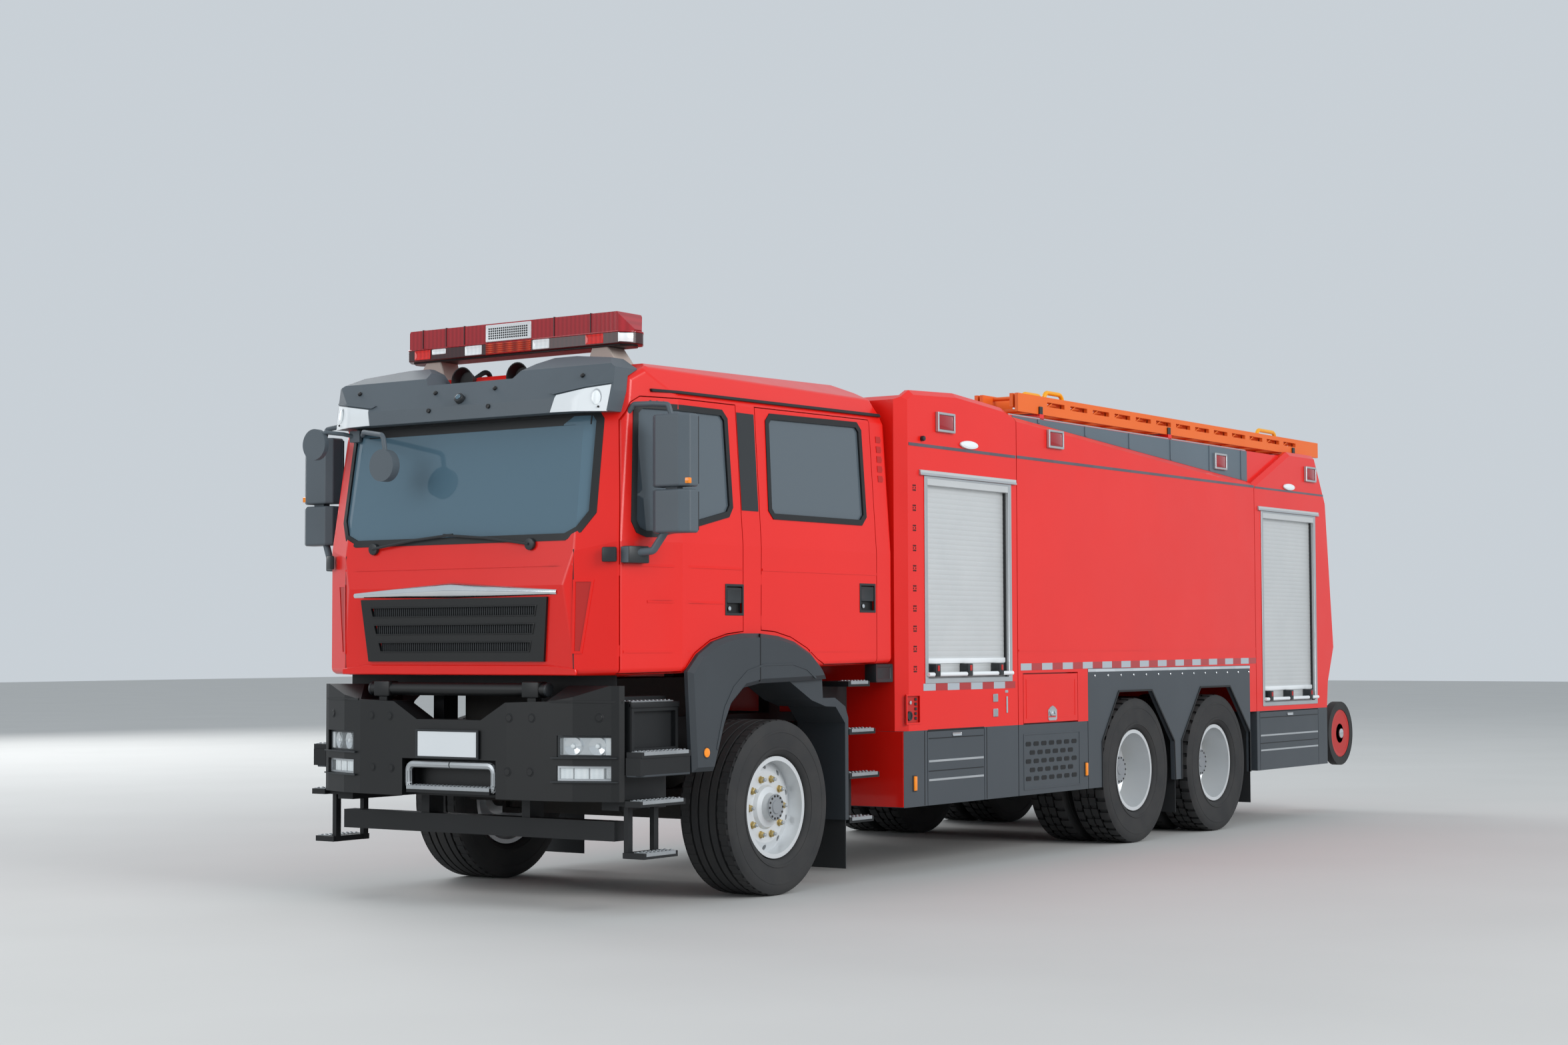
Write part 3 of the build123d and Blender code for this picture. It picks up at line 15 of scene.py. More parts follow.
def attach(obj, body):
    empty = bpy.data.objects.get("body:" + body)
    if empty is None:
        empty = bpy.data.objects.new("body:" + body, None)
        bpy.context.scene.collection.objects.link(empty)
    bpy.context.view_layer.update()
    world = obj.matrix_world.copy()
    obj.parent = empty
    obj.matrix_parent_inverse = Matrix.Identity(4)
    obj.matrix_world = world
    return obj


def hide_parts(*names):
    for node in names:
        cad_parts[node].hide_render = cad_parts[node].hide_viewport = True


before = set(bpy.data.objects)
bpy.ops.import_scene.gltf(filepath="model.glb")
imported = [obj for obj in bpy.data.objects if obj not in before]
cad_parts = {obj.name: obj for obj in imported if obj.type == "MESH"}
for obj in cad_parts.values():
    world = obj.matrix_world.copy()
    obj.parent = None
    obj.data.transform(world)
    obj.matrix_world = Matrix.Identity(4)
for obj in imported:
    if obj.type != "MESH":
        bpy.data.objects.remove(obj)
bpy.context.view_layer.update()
AXLE_X = 3607.5
bpy.ops.object.select_all(action="DESELECT")

# %% [markdown]
# Colours are read off as sRGB hex values, but a shader works with linear light, so one function
# turns a hex value into linear numbers. A second one adds a node with its settings and links,
# and four more hold what most finishes share, so that each one below reads like a short recipe.

# %% Colour and node helpers
def tint(hex_value, alpha=1.0):
    parts = [int(hex_value[i:i + 2], 16) / 255 for i in (0, 2, 4)]
    linear = [c / 12.92 if c <= 0.04045 else ((c + 0.055) / 1.055) ** 2.4 for c in parts]
    return (*linear, alpha)


def add_node(tree, kind, settings=None, inputs=None, links=None, out=None):
    """Add a node with settings, inputs, links {input: (node, output)}, out {output: (node, input)}."""
    node = tree.nodes.new(kind)
    for key, value in (settings or {}).items():
        setattr(node, key, value)
    for key, value in (inputs or {}).items():
        node.inputs[key].default_value = value
    for key, (source, output) in (links or {}).items():
        tree.links.new(source.outputs[output], node.inputs[key])
    for key, (target, socket) in (out or {}).items():
        tree.links.new(node.outputs[key], target.inputs[socket])
    return node


def new_finish(name, surface):
    """Material with its Principled shader set; returns it, its tree, shader and object coordinates."""
    material = bpy.data.materials.new(name)
    material.use_nodes = True
    tree = material.node_tree
    shader = tree.nodes["Principled BSDF"]
    for key, value in surface.items():
        shader.inputs[key].default_value = value
    return material, tree, shader, add_node(tree, "ShaderNodeTexCoord")


def noise(tree, place, scale, detail=4.0):
    """Noise over the piece's own coordinates, so that it stays put when the piece moves."""
    return add_node(tree, "ShaderNodeTexNoise", inputs={"Scale": scale, "Detail": detail},
                    links={"Vector": (place, "Object")})


def mixed_colour(tree, shader, colour, shade, source, output="Fac"):
    """Base colour that goes from colour to shade with a pattern's output."""
    add_node(tree, "ShaderNodeMix", {"data_type": "RGBA"}, {"A": tint(colour), "B": tint(shade)},
             {"Factor": (source, output)}, {"Result": (shader, "Base Color")})


def varied_roughness(tree, shader, source, low, high):
    add_node(tree, "ShaderNodeMapRange", inputs={"To Min": low, "To Max": high},
             links={"Value": (source, "Fac")}, out={"Result": (shader, "Roughness")})


def relief(tree, shader, source, output, strength, distance):
    """Small bumps in the surface, distance in metres."""
    add_node(tree, "ShaderNodeBump", inputs={"Strength": strength, "Distance": distance},
             links={"Height": (source, output)}, out={"Normal": (shader, "Normal")})


# %% [markdown]
# The bodywork is two-pack vehicle paint under clear lacquer. Lacquer is never quite flat: an
# orange peel of some 4 mm softens its reflections, and road dust dulls it in slow clouds about
# 0.7 m wide. Brushed-on paint of frame and ladder lacks the lacquer and is rougher.

# %% Paints
def vehicle_paint(name, colour, shade, rough, coat, metallic=0.0):
    surface = {"Coat Weight": coat, "Coat Roughness": 0.06, "Specular IOR Level": 0.35,
               "Metallic": metallic}
    material, tree, shader, place = new_finish(name, surface)
    cloud = noise(tree, place, 1.4)
    mixed_colour(tree, shader, colour, shade, cloud)
    dust = noise(tree, place, 3.1)
    varied_roughness(tree, shader, dust, rough - 0.05, rough + 0.1)
    peel = noise(tree, place, 240.0, 1.0)
    relief(tree, shader, peel, "Fac", 0.05, 0.0006)
    return material


# Bright warm red with a gloss that mirrors the sky in a pale film.
FIRE_RED = vehicle_paint("fire_red_lacquer", "E61B10", "DB160D", 0.3, 0.22)
# The same red, older and duller, on castings and reels; laid in the cab's front corner recesses and the
# rear post slots, the darker red is painted shade.
REEL_RED_AND_RECESS_SHADE = vehicle_paint("reel_red_paint", "BE221C", "A81C18", 0.42, 0.15)
# Flat mid grey that shows no reflections, only soft shading.
SKIRT_GREY = vehicle_paint("skirt_grey_lacquer", "444A50", "3D4348", 0.45, 0.1)
# Darker grey with a blue cast, set back behind the red.
PANEL_BLUE = vehicle_paint("upper_panel_grey_lacquer", "5C6A74", "54616A", 0.4, 0.15)
# Strong signal orange, chalky in the light.
LADDER_ORANGE = vehicle_paint("ladder_orange_paint", "EC7026", "DE611C", 0.45, 0.05)
# Clear warm yellow with a soft gloss.
HOOP_YELLOW = vehicle_paint("grab_rail_yellow_paint", "F5AE14", "EBA00D", 0.38, 0.2)
# Satin black that keeps the underside quiet. The same black is painted shade in holes, slots, grooves
# and gaps, behind the grille strands and under the cab's floor.
FRAME_BLACK_AND_PAINTED_SHADE = vehicle_paint("chassis_black_paint", "1A1C1E", "131517", 0.52, 0.03)
# Beige grey of the light bar's feet.
FOOT_BEIGE = vehicle_paint("light_bar_foot_paint", "B9AFA6", "ADA39A", 0.45, 0.05)
# Clean cold white of lamp bodies and cart legs.
WHITE_ENAMEL = vehicle_paint("white_enamel", "E6EAEC", "DBE0E3", 0.32, 0.2)
# Fine metallic flake that reads as pale silver, greyer in the hollows.
WHEEL_SILVER = vehicle_paint("wheel_silver_paint", "DADDDF", "CACED0", 0.38, 0.15, 0.35)
print("paints ready")

# %% [markdown]
# Bumper, flares, visor and mirrors are moulded ABS with a leather-like grain. The real grain of
# 1.5 mm is drawn 3 mm wide so that it shows; it scatters light and turns the black to dark grey.

# %% Plastics and rubber
def moulded(name, colour, shade, rough, grain_mm, depth):
    material, tree, shader, place = new_finish(name, {"Roughness": rough, "Specular IOR Level": 0.45})
    cloud = noise(tree, place, 2.2)
    mixed_colour(tree, shader, colour, shade, cloud)
    grain = add_node(tree, "ShaderNodeTexVoronoi", {"feature": "SMOOTH_F1"}, {"Scale": 1000 / grain_mm},
                     {"Vector": (place, "Object")})
    relief(tree, shader, grain, "Distance", 0.25, depth)
    return material


# Near black with a silky sheen along its rounded edges.
BUMPER_BLACK = moulded("bumper_grained_abs", "0F1113", "0B0D0E", 0.46, 3.0, 0.0006)
# Charcoal, paler than the bumper because it faces the sky.
VISOR_BLACK = moulded("visor_grained_abs", "566068", "4A5359", 0.5, 3.0, 0.0005)
# Charcoal with a visible pebble grain and no shine.
FLARE_BLACK = moulded("flare_grained_abs", "383E43", "2F3439", 0.54, 3.0, 0.0006)
# Smoother black, handled bright at the edges.
HANDLE_BLACK = moulded("handle_fine_abs", "262A2D", "1E2225", 0.42, 2.0, 0.0003)
# Dull dark grey that stays quiet behind the glass.
CABIN_TRIM = moulded("cabin_grained_trim", "3A3C3E", "303234", 0.6, 2.5, 0.0005)
# Black lips without gloss that draw a line round each pane; the same black is the visor's painted
# shadow along the top of the windscreen.
SEAL_RUBBER_AND_VISOR_SHADOW = moulded("window_seal_rubber_and_visor_shadow", "15181B", "101315", 0.55, 2.0, 0.0002)
# Flat grey-black, dusty.
FLAP_RUBBER = moulded("mud_flap_rubber", "1D1F21", "26282A", 0.75, 5.0, 0.0008)


def tyre_rubber():
    """Vulcanised rubber: matt black that road dust turns brown-grey in patches of 0.2 m."""
    surface = {"Roughness": 0.78, "Specular IOR Level": 0.35}
    material, tree, shader, place = new_finish("tyre_rubber", surface)
    dust = noise(tree, place, 6.0, 6.0)
    mixed_colour(tree, shader, "25272A", "3C3B3A", dust)
    pits = noise(tree, place, 420.0, 3.0)
    relief(tree, shader, pits, "Fac", 0.2, 0.0008)
    return material


TYRE_RUBBER = tyre_rubber()

# %% [markdown]
# The windows are tinted safety glass. Under a pale sky they look blue-grey and let only a hint of
# the cabin through, so the glass is part colour and part clear. A film of dust, in clouds of half
# a metre, dulls its mirror here and there.

# %% Glass and lenses
def glass(name, colour, alpha, rough=0.03):
    surface = {"Base Color": tint(colour), "IOR": 1.5, "Alpha": alpha, "Specular IOR Level": 0.7}
    material, tree, shader, place = new_finish(name, surface)
    film = noise(tree, place, 2.0, 3.0)
    varied_roughness(tree, shader, film, rough, rough + 0.06)
    return material


# Blue-grey, the brightest pane because it leans back to the sky.
WINDOW_GLASS = glass("tinted_safety_glass", "587484", 0.85)
# Darker grey with a brown cast from the cabin behind it.
DOOR_GLASS = glass("tinted_door_glass", "57626A", 0.88)
# Clear cover over bright reflectors.
LAMP_GLASS = glass("lamp_clear_glass", "DDE5E8", 0.25)
print("plastics and glass ready")

# %% [markdown]
# Roller curtains are extruded slats of natural anodised aluminium: fairly matt and a little
# warmer than steel. Castings and springs are plain dark metal, and chromed strips nearly a mirror.
# Handling rubs them in patches, so the roughness follows a noise nine times finer than the colour.

# %% Metals
def metal(name, colour, shade, rough, metallic, scale, coarse=0.0004):
    material, tree, shader, place = new_finish(name, {"Metallic": metallic})
    cloud = noise(tree, place, scale)
    mixed_colour(tree, shader, colour, shade, cloud)
    rub = noise(tree, place, scale * 9)
    varied_roughness(tree, shader, rub, max(rough - 0.06, 0.04), rough + 0.1)
    grit = noise(tree, place, 350.0, 2.0)
    relief(tree, shader, grit, "Fac", 0.15, coarse)
    return material


# Pale satin silver, even from slat to slat.
SHUTTER_ALUMINIUM = metal("anodised_shutter_aluminium", "D3D5D5", "C4C7C8", 0.42, 0.4, 2.5)
# Slightly brighter and sharper than the curtain, so the guides stand out. On the fold-down panels the
# same pale metal is painted highlight along the folded edges.
RAIL_ALUMINIUM_AND_EDGE_HIGHLIGHT = metal("anodised_rail_aluminium_and_edge_highlight", "C2C6C9", "ADB2B5", 0.36, 0.6, 4.0)
# Scuffed grey with bright high spots.
TREAD_ALUMINIUM = metal("punched_tread_aluminium", "B0B4B7", "94999C", 0.45, 0.7, 12.0, 0.001)
# Bright mirror with hard dark lines.
CHROME = metal("chromed_steel", "E3E6E8", "D5D9DC", 0.1, 1.0, 5.0, 0.0001)
# Rough dark brown-black of cast axles and hubs.
DARK_CASTING = metal("cast_iron_casting", "2B2B2A", "3A3633", 0.68, 0.3, 6.0, 0.0015)
# Rolled steel, black with a trace of rust.
SPRING_STEEL = metal("spring_steel_black", "1E1F20", "2B2A28", 0.55, 0.4, 5.0)
# Yellow-passivated nuts with a warm glint.
BRASS_NUT = metal("passivated_brass_nut", "C9B27A", "B09A62", 0.35, 0.8, 30.0)


# %% [markdown]
# Lamp bodies are moulded acrylic: a deep glossy plastic with fine ribs on its inside, which break
# the light into thin bands. The ribs are drawn 5 mm wide, as they are on a beacon.

# %% Lenses and reflective tape
def lens(name, colour, shade, rib_mm=5.0, alpha=1.0, glow=0.0, rough=0.1):
    surface = {"Roughness": rough, "IOR": 1.49, "Alpha": alpha, "Coat Weight": 0.3,
               "Emission Color": tint(colour), "Emission Strength": glow}
    material, tree, shader, place = new_finish(name, surface)
    ribs = add_node(tree, "ShaderNodeTexWave", {"bands_direction": "Y"}, {"Scale": 1000 / rib_mm / 20},
                    {"Vector": (place, "Object")})
    mixed_colour(tree, shader, colour, shade, ribs)
    relief(tree, shader, ribs, "Fac", 0.15, 0.0006)
    return material


# Crimson with a cool cast, deeper than the paint around it.
RED_LENS = lens("red_acrylic_lens", "A81C26", "96161F")
# The lower half of the light bar: a deep red darkened nearly to black as painted shade; the cover seams
# share it.
DEEP_LENS_AND_PAINTED_SHADE = lens("deep_red_lens_and_painted_shade", "3C0C11", "2E090D", rough=0.45)
# Bright crimson of the lit modules.
BRIGHT_RED_LENS = lens("bright_red_acrylic_lens", "DC2018", "C01410", glow=0.1)
# Clear orange.
AMBER_LENS = lens("amber_acrylic_lens", "F08A0E", "DC780B", glow=0.12)
# Milky white that hides the bulb.
WHITE_LENS = lens("white_acrylic_lens", "EEF2F3", "E2E8EA", glow=0.05)
# Coarse louvres in orange-red, 12 mm apart.
GRILLE_ORANGE = lens("siren_orange_grille", "CC4820", "8A2814", 12)


def reflective_tape(name, first, second, square_mm, start):
    """Retro-reflective tape, squares of square_mm along X from start: satin with a fine honeycomb."""
    surface = {"Roughness": 0.3, "Coat Weight": 0.4, "Specular IOR Level": 0.6}
    material, tree, shader, place = new_finish(name, surface)
    along = add_node(tree, "ShaderNodeSeparateXYZ", links={"Vector": (place, "Object")})
    shift = add_node(tree, "ShaderNodeMath", {"operation": "SUBTRACT"}, {1: start}, {0: (along, "X")})
    cells = add_node(tree, "ShaderNodeMath", {"operation": "DIVIDE"}, {1: square_mm / 500},
                     {0: (shift, "Value")})
    part = add_node(tree, "ShaderNodeMath", {"operation": "FRACT"}, links={0: (cells, "Value")})
    step = add_node(tree, "ShaderNodeMath", {"operation": "GREATER_THAN"}, {1: 0.5},
                    {0: (part, "Value")})
    mixed_colour(tree, shader, first, second, step, "Value")
    honey = add_node(tree, "ShaderNodeTexVoronoi", inputs={"Scale": 200.0},
                     links={"Vector": (place, "Object")})
    relief(tree, shader, honey, "Distance", 0.12, 0.0004)
    return material


# Squares of grey and dark red along both sides, one band below the shutter and one at the waist.
SHUTTER_TAPE = reflective_tape("shutter_reflective_tape", "A8B0B7", "A8161A", 150, 0.1095)
WAIST_TAPE = reflective_tape("waist_reflective_tape", "A8B0B7", "A8161A", 150, 0.0405)
# One-colour bands: a pale painted highlight along the bevelled top of the wheel arch panels, and dark
# tape above the shutters.
ARCH_PAINTED_HIGHLIGHT = reflective_tape("arch_bevel_painted_highlight", "B9C0C5", "B1B8BD", 300, 0.0)
DARK_TAPE = reflective_tape("dark_grey_tape", "4C4650", "463F4A", 300, 0.0)


def seat_fabric():
    """Woven seat cloth: threads of about 2 mm, drawn at 4 mm so that the weave shows; soft and dull."""
    surface = {"Roughness": 0.9, "Sheen Weight": 0.3}
    material, tree, shader, place = new_finish("woven_seat_cloth", surface)
    warp = add_node(tree, "ShaderNodeTexWave", {"bands_direction": "X"}, {"Scale": 40.0},
                    {"Vector": (place, "Object")})
    weft = add_node(tree, "ShaderNodeTexWave", {"bands_direction": "Y"}, {"Scale": 40.0},
                    {"Vector": (place, "Object")})
    crossing = {0: (warp, "Fac"), 1: (weft, "Fac")}
    weave = add_node(tree, "ShaderNodeMath", {"operation": "MULTIPLY"}, links=crossing)
    mixed_colour(tree, shader, "26282C", "3B3E44", weave, "Value")
    relief(tree, shader, weave, "Value", 0.4, 0.001)
    return material


SEAT_CLOTH = seat_fabric()
print("metals, lenses, tape and cloth ready")

# %% [markdown]
# Every CAD node keeps its shape and gets the finish of the real piece.

# %% Finishes of the CAD nodes
NODE_FINISH = {FIRE_RED: ["cab_shell", "front_door", "rear_door", "body_front", "body_middle",
                          "body_rear", "box_door"], SKIRT_GREY: ["lower_panels", "fold_step"],
               FRAME_BLACK_AND_PAINTED_SHADE: ["chassis_frame", "frame_fittings", "cab_steps", "cart_frame"],
               BUMPER_BLACK: ["front_bumper", "front_grille"], VISOR_BLACK: ["sun_visor", "mirror",
        "kerb_mirror"], FLARE_BLACK: ["front_fenders"], FLAP_RUBBER: ["mud_flaps"],
               TYRE_RUBBER: ["front_tyre", "rear_tyres", "cart_tyres"], WHEEL_SILVER: ["front_wheel",
        "rear_wheel"], SHUTTER_ALUMINIUM: ["roller_shutters"], LADDER_ORANGE: ["roof_ladder"],
               HOOP_YELLOW: ["grab_rails"], DARK_CASTING: ["axles", "engine_block", "knuckle"],
               SPRING_STEEL: ["leaf_springs"], RED_LENS: ["light_bar"], LAMP_GLASS: ["headlamps"],
               WINDOW_GLASS: ["windscreen"], DOOR_GLASS: ["front_door_glass", "rear_door_glass"],
               CABIN_TRIM: ["dashboard"], SEAT_CLOTH: ["cab_seats"],
               REEL_RED_AND_RECESS_SHADE: ["cart_reel", "monitor_turret", "monitor_barrel"],}
finish_of = {start: material for material, starts in NODE_FINISH.items() for start in starts}
for name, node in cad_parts.items():
    start = max((s for s in finish_of if name.startswith(s)), key=len)
    node.data.materials.clear()
    node.data.materials.append(finish_of[start])
print("finishes given to", len(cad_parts), "nodes")

# %% [markdown]
# The camera stands where the photographer stood: a little ahead of the truck's left front
# corner, at chest height, tilted up by three degrees. The picture is 2352 by 1568.

# %% Camera
bpy.ops.object.camera_add(location=(15.466, 9.4276, 1.4501))
camera = bpy.context.object
camera.name = "photo_camera"
camera.data.lens = 56.44
camera.data.sensor_width = 36.0
camera.data.clip_end = 200.0
yaw, pitch, roll = math.radians(214.605), math.radians(2.892), math.radians(-0.19)
aim = Vector((math.cos(yaw) * math.cos(pitch), math.sin(yaw) * math.cos(pitch), math.sin(pitch)))
looking = aim.to_track_quat("-Z", "Y").to_matrix().to_4x4()
camera.rotation_euler = (looking @ Matrix.Rotation(roll, 4, "Z")).to_euler()
bpy.context.scene.camera = camera

# %% [markdown]
# A pale plain floor and a bright soft room: three large area lamps wrap the truck without hard
# shadows, and a pale world fills in what they miss, as an overcast sky does.

# %% Floor and light
bpy.ops.mesh.primitive_plane_add(size=160, location=(0, 0, 0))
floor = bpy.context.object
floor.name = "studio_floor"
# Pale painted concrete: even and matt, with clouds more than a metre wide.
concrete, tree, shader, place = new_finish("pale_studio_floor", {"Roughness": 0.85})
mixed_colour(tree, shader, "C9C9C7", "C1C1BF", noise(tree, place, 0.6))
floor.data.materials.append(concrete)
world = bpy.data.worlds.new("soft_sky")
world.use_nodes = True
sky = world.node_tree.nodes["Background"].inputs
sky["Color"].default_value, sky["Strength"].default_value = tint("DFE7EE"), 0.79
bpy.context.scene.world = world
LAMPS = [("key", (4, 26, 12), 4600, 14), ("front", (19, -5, 7), 750, 9),
         ("rear", (-6, -22, 12), 2600, 14)]       # name, place in m, watts, width in m
for name, where, power, size in LAMPS:
    bpy.ops.object.light_add(type="AREA", location=where)
    lamp = bpy.context.object
    lamp.name = name + "_softbox"
    lamp.data.energy, lamp.data.size = power, size
    lamp.rotation_euler = (Vector((0, 0, 1.2)) - Vector(where)).to_track_quat("-Z", "Y").to_euler()
bpy.context.scene.view_settings.view_transform = "Standard"
print("camera, floor and", len(LAMPS), "lamps placed")

# %% [markdown]
# ## Working with the mesh tools
# An operator acts on whatever is selected, so each helper first clears the selection, works on
# one new primitive in edit mode, and hands back an object whose place lies in its mesh.

# %% Modelling helpers
made = []
SIDES = ((1, "left"), (-1, "right"))


def clear_selection():
    if bpy.context.object and bpy.context.object.mode != "OBJECT":
        bpy.ops.object.mode_set(mode="OBJECT")
    for thing in bpy.context.selected_objects:
        thing.select_set(False)


def place_in_mesh(piece):
    """Move an object's place, turn and scale into its mesh."""
    piece.data.transform(piece.matrix_basis)
    piece.matrix_basis = Matrix.Identity(4)
    return piece


def at(x, y, z):
    """Millimetres from the front axle to the frame's metres."""
    return Vector(((x + AXLE_X) / 1000, y / 1000, z / 1000))


def stretched(piece, middle, factors):
    """Scale a piece's mesh about a point of the frame."""
    piece.data.transform(Matrix.Translation(middle) @ Matrix.Diagonal((*factors, 1))
                         @ Matrix.Translation([-c for c in middle]))
    return piece


def edit(piece, mode="FACE"):
    """Open a piece in edit mode with nothing selected; returns its bmesh."""
    clear_selection()
    bpy.context.view_layer.objects.active = piece
    piece.select_set(True)
    bpy.ops.object.mode_set(mode="EDIT")
    bpy.ops.mesh.select_mode(type=mode)
    bpy.ops.mesh.select_all(action="DESELECT")
    return bmesh.from_edit_mesh(piece.data)


def select_faces(piece, test):
    """Select the faces whose centre and normal pass a test; returns how many."""
    mesh = bmesh.from_edit_mesh(piece.data)
    count = 0
    for face in mesh.faces:
        chosen = bool(test(face.calc_center_median(), face.normal))
        face.select_set(chosen)
        count += chosen
    bmesh.update_edit_mesh(piece.data)
    return count


def close_edit():
    bpy.ops.object.mode_set(mode="OBJECT")


def block(name, x, y, z, bevel=2.0, segments=1, tilt=None):
    """Softened block; x, y and z are (low, high) in mm, tilt an Euler turn about its middle."""
    clear_selection()
    middle = at(sum(x) / 2, sum(y) / 2, sum(z) / 2)
    bpy.ops.mesh.primitive_cube_add(size=1, location=middle)
    piece = bpy.context.object
    piece.name = piece.data.name = name
    piece.scale = [abs(pair[1] - pair[0]) / 1000 for pair in (x, y, z)]
    piece.data.transform(Matrix.Diagonal((*piece.scale, 1)))
    piece.scale = (1, 1, 1)
    if tilt:
        piece.rotation_euler = tilt
    place_in_mesh(piece)
    if bevel:
        edit(piece, "EDGE")
        bpy.ops.mesh.select_all(action="SELECT")
        bpy.ops.mesh.bevel(offset=bevel / 1000, segments=segments, affect="EDGES")
        close_edit()
    return piece


def disc(name, centre, radius, depth, axis="Y", sides=24, bevel=1.5, segments=1, turn=0.0):
    """Short cylinder about an axis through centre (mm), its rims bevelled."""
    clear_selection()
    bpy.ops.mesh.primitive_cylinder_add(vertices=sides, radius=radius / 1000, depth=depth / 1000,
                                        location=(0, 0, 0))
    piece = bpy.context.object
    piece.name = piece.data.name = name
    if turn:
        piece.data.transform(Matrix.Rotation(turn, 4, "Z"))
    if bevel:
        edit(piece, "EDGE")
        select_faces(piece, lambda c, n: abs(n.z) > 0.9)
        bpy.ops.mesh.region_to_loop()
        bpy.ops.mesh.bevel(offset=bevel / 1000, segments=segments, affect="EDGES")
        close_edit()
    lay = {"X": Matrix.Rotation(math.pi / 2, 4, "Y"), "Y": Matrix.Rotation(-math.pi / 2, 4, "X"),
           "Z": Matrix.Identity(4)}[axis]
    piece.data.transform(Matrix.Translation(at(*centre)) @ lay)
    return piece


def press(piece, facing, *steps):
    """Inset the faces that look along an axis and push them in, once for each (width, depth) in m."""
    edit(piece)
    way = "xyz".index(facing)
    select_faces(piece, lambda c, n: n[way] > 0.9)
    for thickness, depth in steps:
        bpy.ops.mesh.inset(thickness=thickness, depth=depth)
    close_edit()


def rect(u0, u1, v0, v1):
    """Four corners of an upright rectangle."""
    return [(u0, v0), (u1, v0), (u1, v1), (u0, v1)]


def on_plane(axis, level, u, v):
    """Point (u, v) of a flat outline that lies square to an axis at a level (mm)."""
    return at(*{"X": (level, u, v), "Y": (u, level, v), "Z": (u, v, level)}[axis])


def thickened(piece, axis, by, bevel=0.0, segments=1):
    """Extrude a flat piece along an axis by some mm, turn its faces outwards and bevel it."""
    edit(piece)
    bpy.ops.mesh.select_all(action="SELECT")
    step = tuple(by / 1000 if letter == axis else 0 for letter in "XYZ")
    bpy.ops.mesh.extrude_region_move(TRANSFORM_OT_translate={"value": step})
    bpy.ops.mesh.select_all(action="SELECT")
    bpy.ops.mesh.normals_make_consistent(inside=False)
    if bevel:
        bpy.ops.mesh.bevel(offset=bevel / 1000, segments=segments, affect="EDGES")
    close_edit()
    return piece


def sheet_from(name, points, low, high, axis="Y", bevel=0.0, segments=1):
    """Flat outline (pairs in mm) drawn as one face and extruded from low to high along an axis."""
    clear_selection()
    bpy.ops.mesh.primitive_circle_add(vertices=len(points), radius=1, fill_type="NGON",
                                      location=(0, 0, 0))
    piece = bpy.context.object
    piece.name = piece.data.name = name
    for vertex, (u, v) in zip(piece.data.vertices, points):
        vertex.co = on_plane(axis, low, u, v)
    return thickened(piece, axis, high - low, bevel, segments)


def ring_from(name, outer, inner, low, high, axis="Y", bevel=0.0):
    """Frame between two outlines with as many points each: a loop extruded inwards and then up."""
    clear_selection()
    bpy.ops.mesh.primitive_circle_add(vertices=len(outer), radius=1, location=(0, 0, 0))
    piece = bpy.context.object
    piece.name = piece.data.name = name
    corners = [vertex.co.xy.copy() for vertex in piece.data.vertices]
    edit(piece, "EDGE")
    bpy.ops.mesh.select_all(action="SELECT")
    bpy.ops.mesh.extrude_edges_move(TRANSFORM_OT_translate={"value": (0, 0, 1)})
    close_edit()
    for vertex in piece.data.vertices:
        nearest = min(range(len(corners)), key=lambda k: (corners[k] - vertex.co.xy).length)
        u, v = (inner if vertex.co.z > 0.5 else outer)[nearest]
        vertex.co = on_plane(axis, low, u, v)
    return thickened(piece, axis, high - low, bevel)


def tube(name, points, radius, sides=10, bend=0.0):
    """Round bar along straight runs in mm, its corners eased by bend."""
    clear_selection()
    bpy.ops.mesh.primitive_circle_add(vertices=len(points), radius=1, location=(0, 0, 0))
    path = bpy.context.object
    for vertex, point in zip(path.data.vertices, points):
        vertex.co = at(*point)
    edit(path, "EDGE")
    mesh = bmesh.from_edit_mesh(path.data)
    mesh.verts.ensure_lookup_table()
    last = {mesh.verts[0], mesh.verts[-1]}
    for edge in mesh.edges:
        edge.select_set(len(points) > 2 and set(edge.verts) == last)
    bmesh.update_edit_mesh(path.data)
    bpy.ops.mesh.delete(type="EDGE_FACE")
    if bend:
        mesh = bmesh.from_edit_mesh(path.data)
        bpy.ops.mesh.select_mode(type="VERT")
        for vertex in mesh.verts:
            vertex.select_set(len(vertex.link_edges) == 2)
        bmesh.update_edit_mesh(path.data)
        bpy.ops.mesh.bevel(offset=bend / 1000, segments=4, affect="VERTICES")
    close_edit()
    bpy.ops.object.convert(target="CURVE")
    path.data.bevel_depth = radius / 1000
    path.data.bevel_resolution = max(1, sides // 4 - 1)
    path.data.use_fill_caps = True
    bpy.ops.object.convert(target="MESH")
    piece = bpy.context.object
    piece.name = piece.data.name = name
    return piece


def twin_of(piece, name=None):
    """Copy of a piece with a mesh of its own."""
    twin = piece.copy()
    twin.data = piece.data.copy()
    if name:
        twin.name = twin.data.name = name
    bpy.context.collection.objects.link(twin)
    return twin


def copies(piece, shifts):
    """Repeat a finished piece at shifts in mm and join them with it; each copy has its own mesh."""
    clear_selection()
    piece.select_set(True)
    for shift in shifts:
        twin = twin_of(piece)
        twin.data.transform(Matrix.Translation(Vector(shift) / 1000))
        twin.select_set(True)
    bpy.context.view_layer.objects.active = piece
    bpy.ops.object.join()
    return piece


def joined(name, pieces):
    """Join several pieces of one finish into one."""
    clear_selection()
    for piece in pieces:
        piece.select_set(True)
    bpy.context.view_layer.objects.active = pieces[0]
    bpy.ops.object.join()
    pieces[0].name = pieces[0].data.name = name
    return pieces[0]


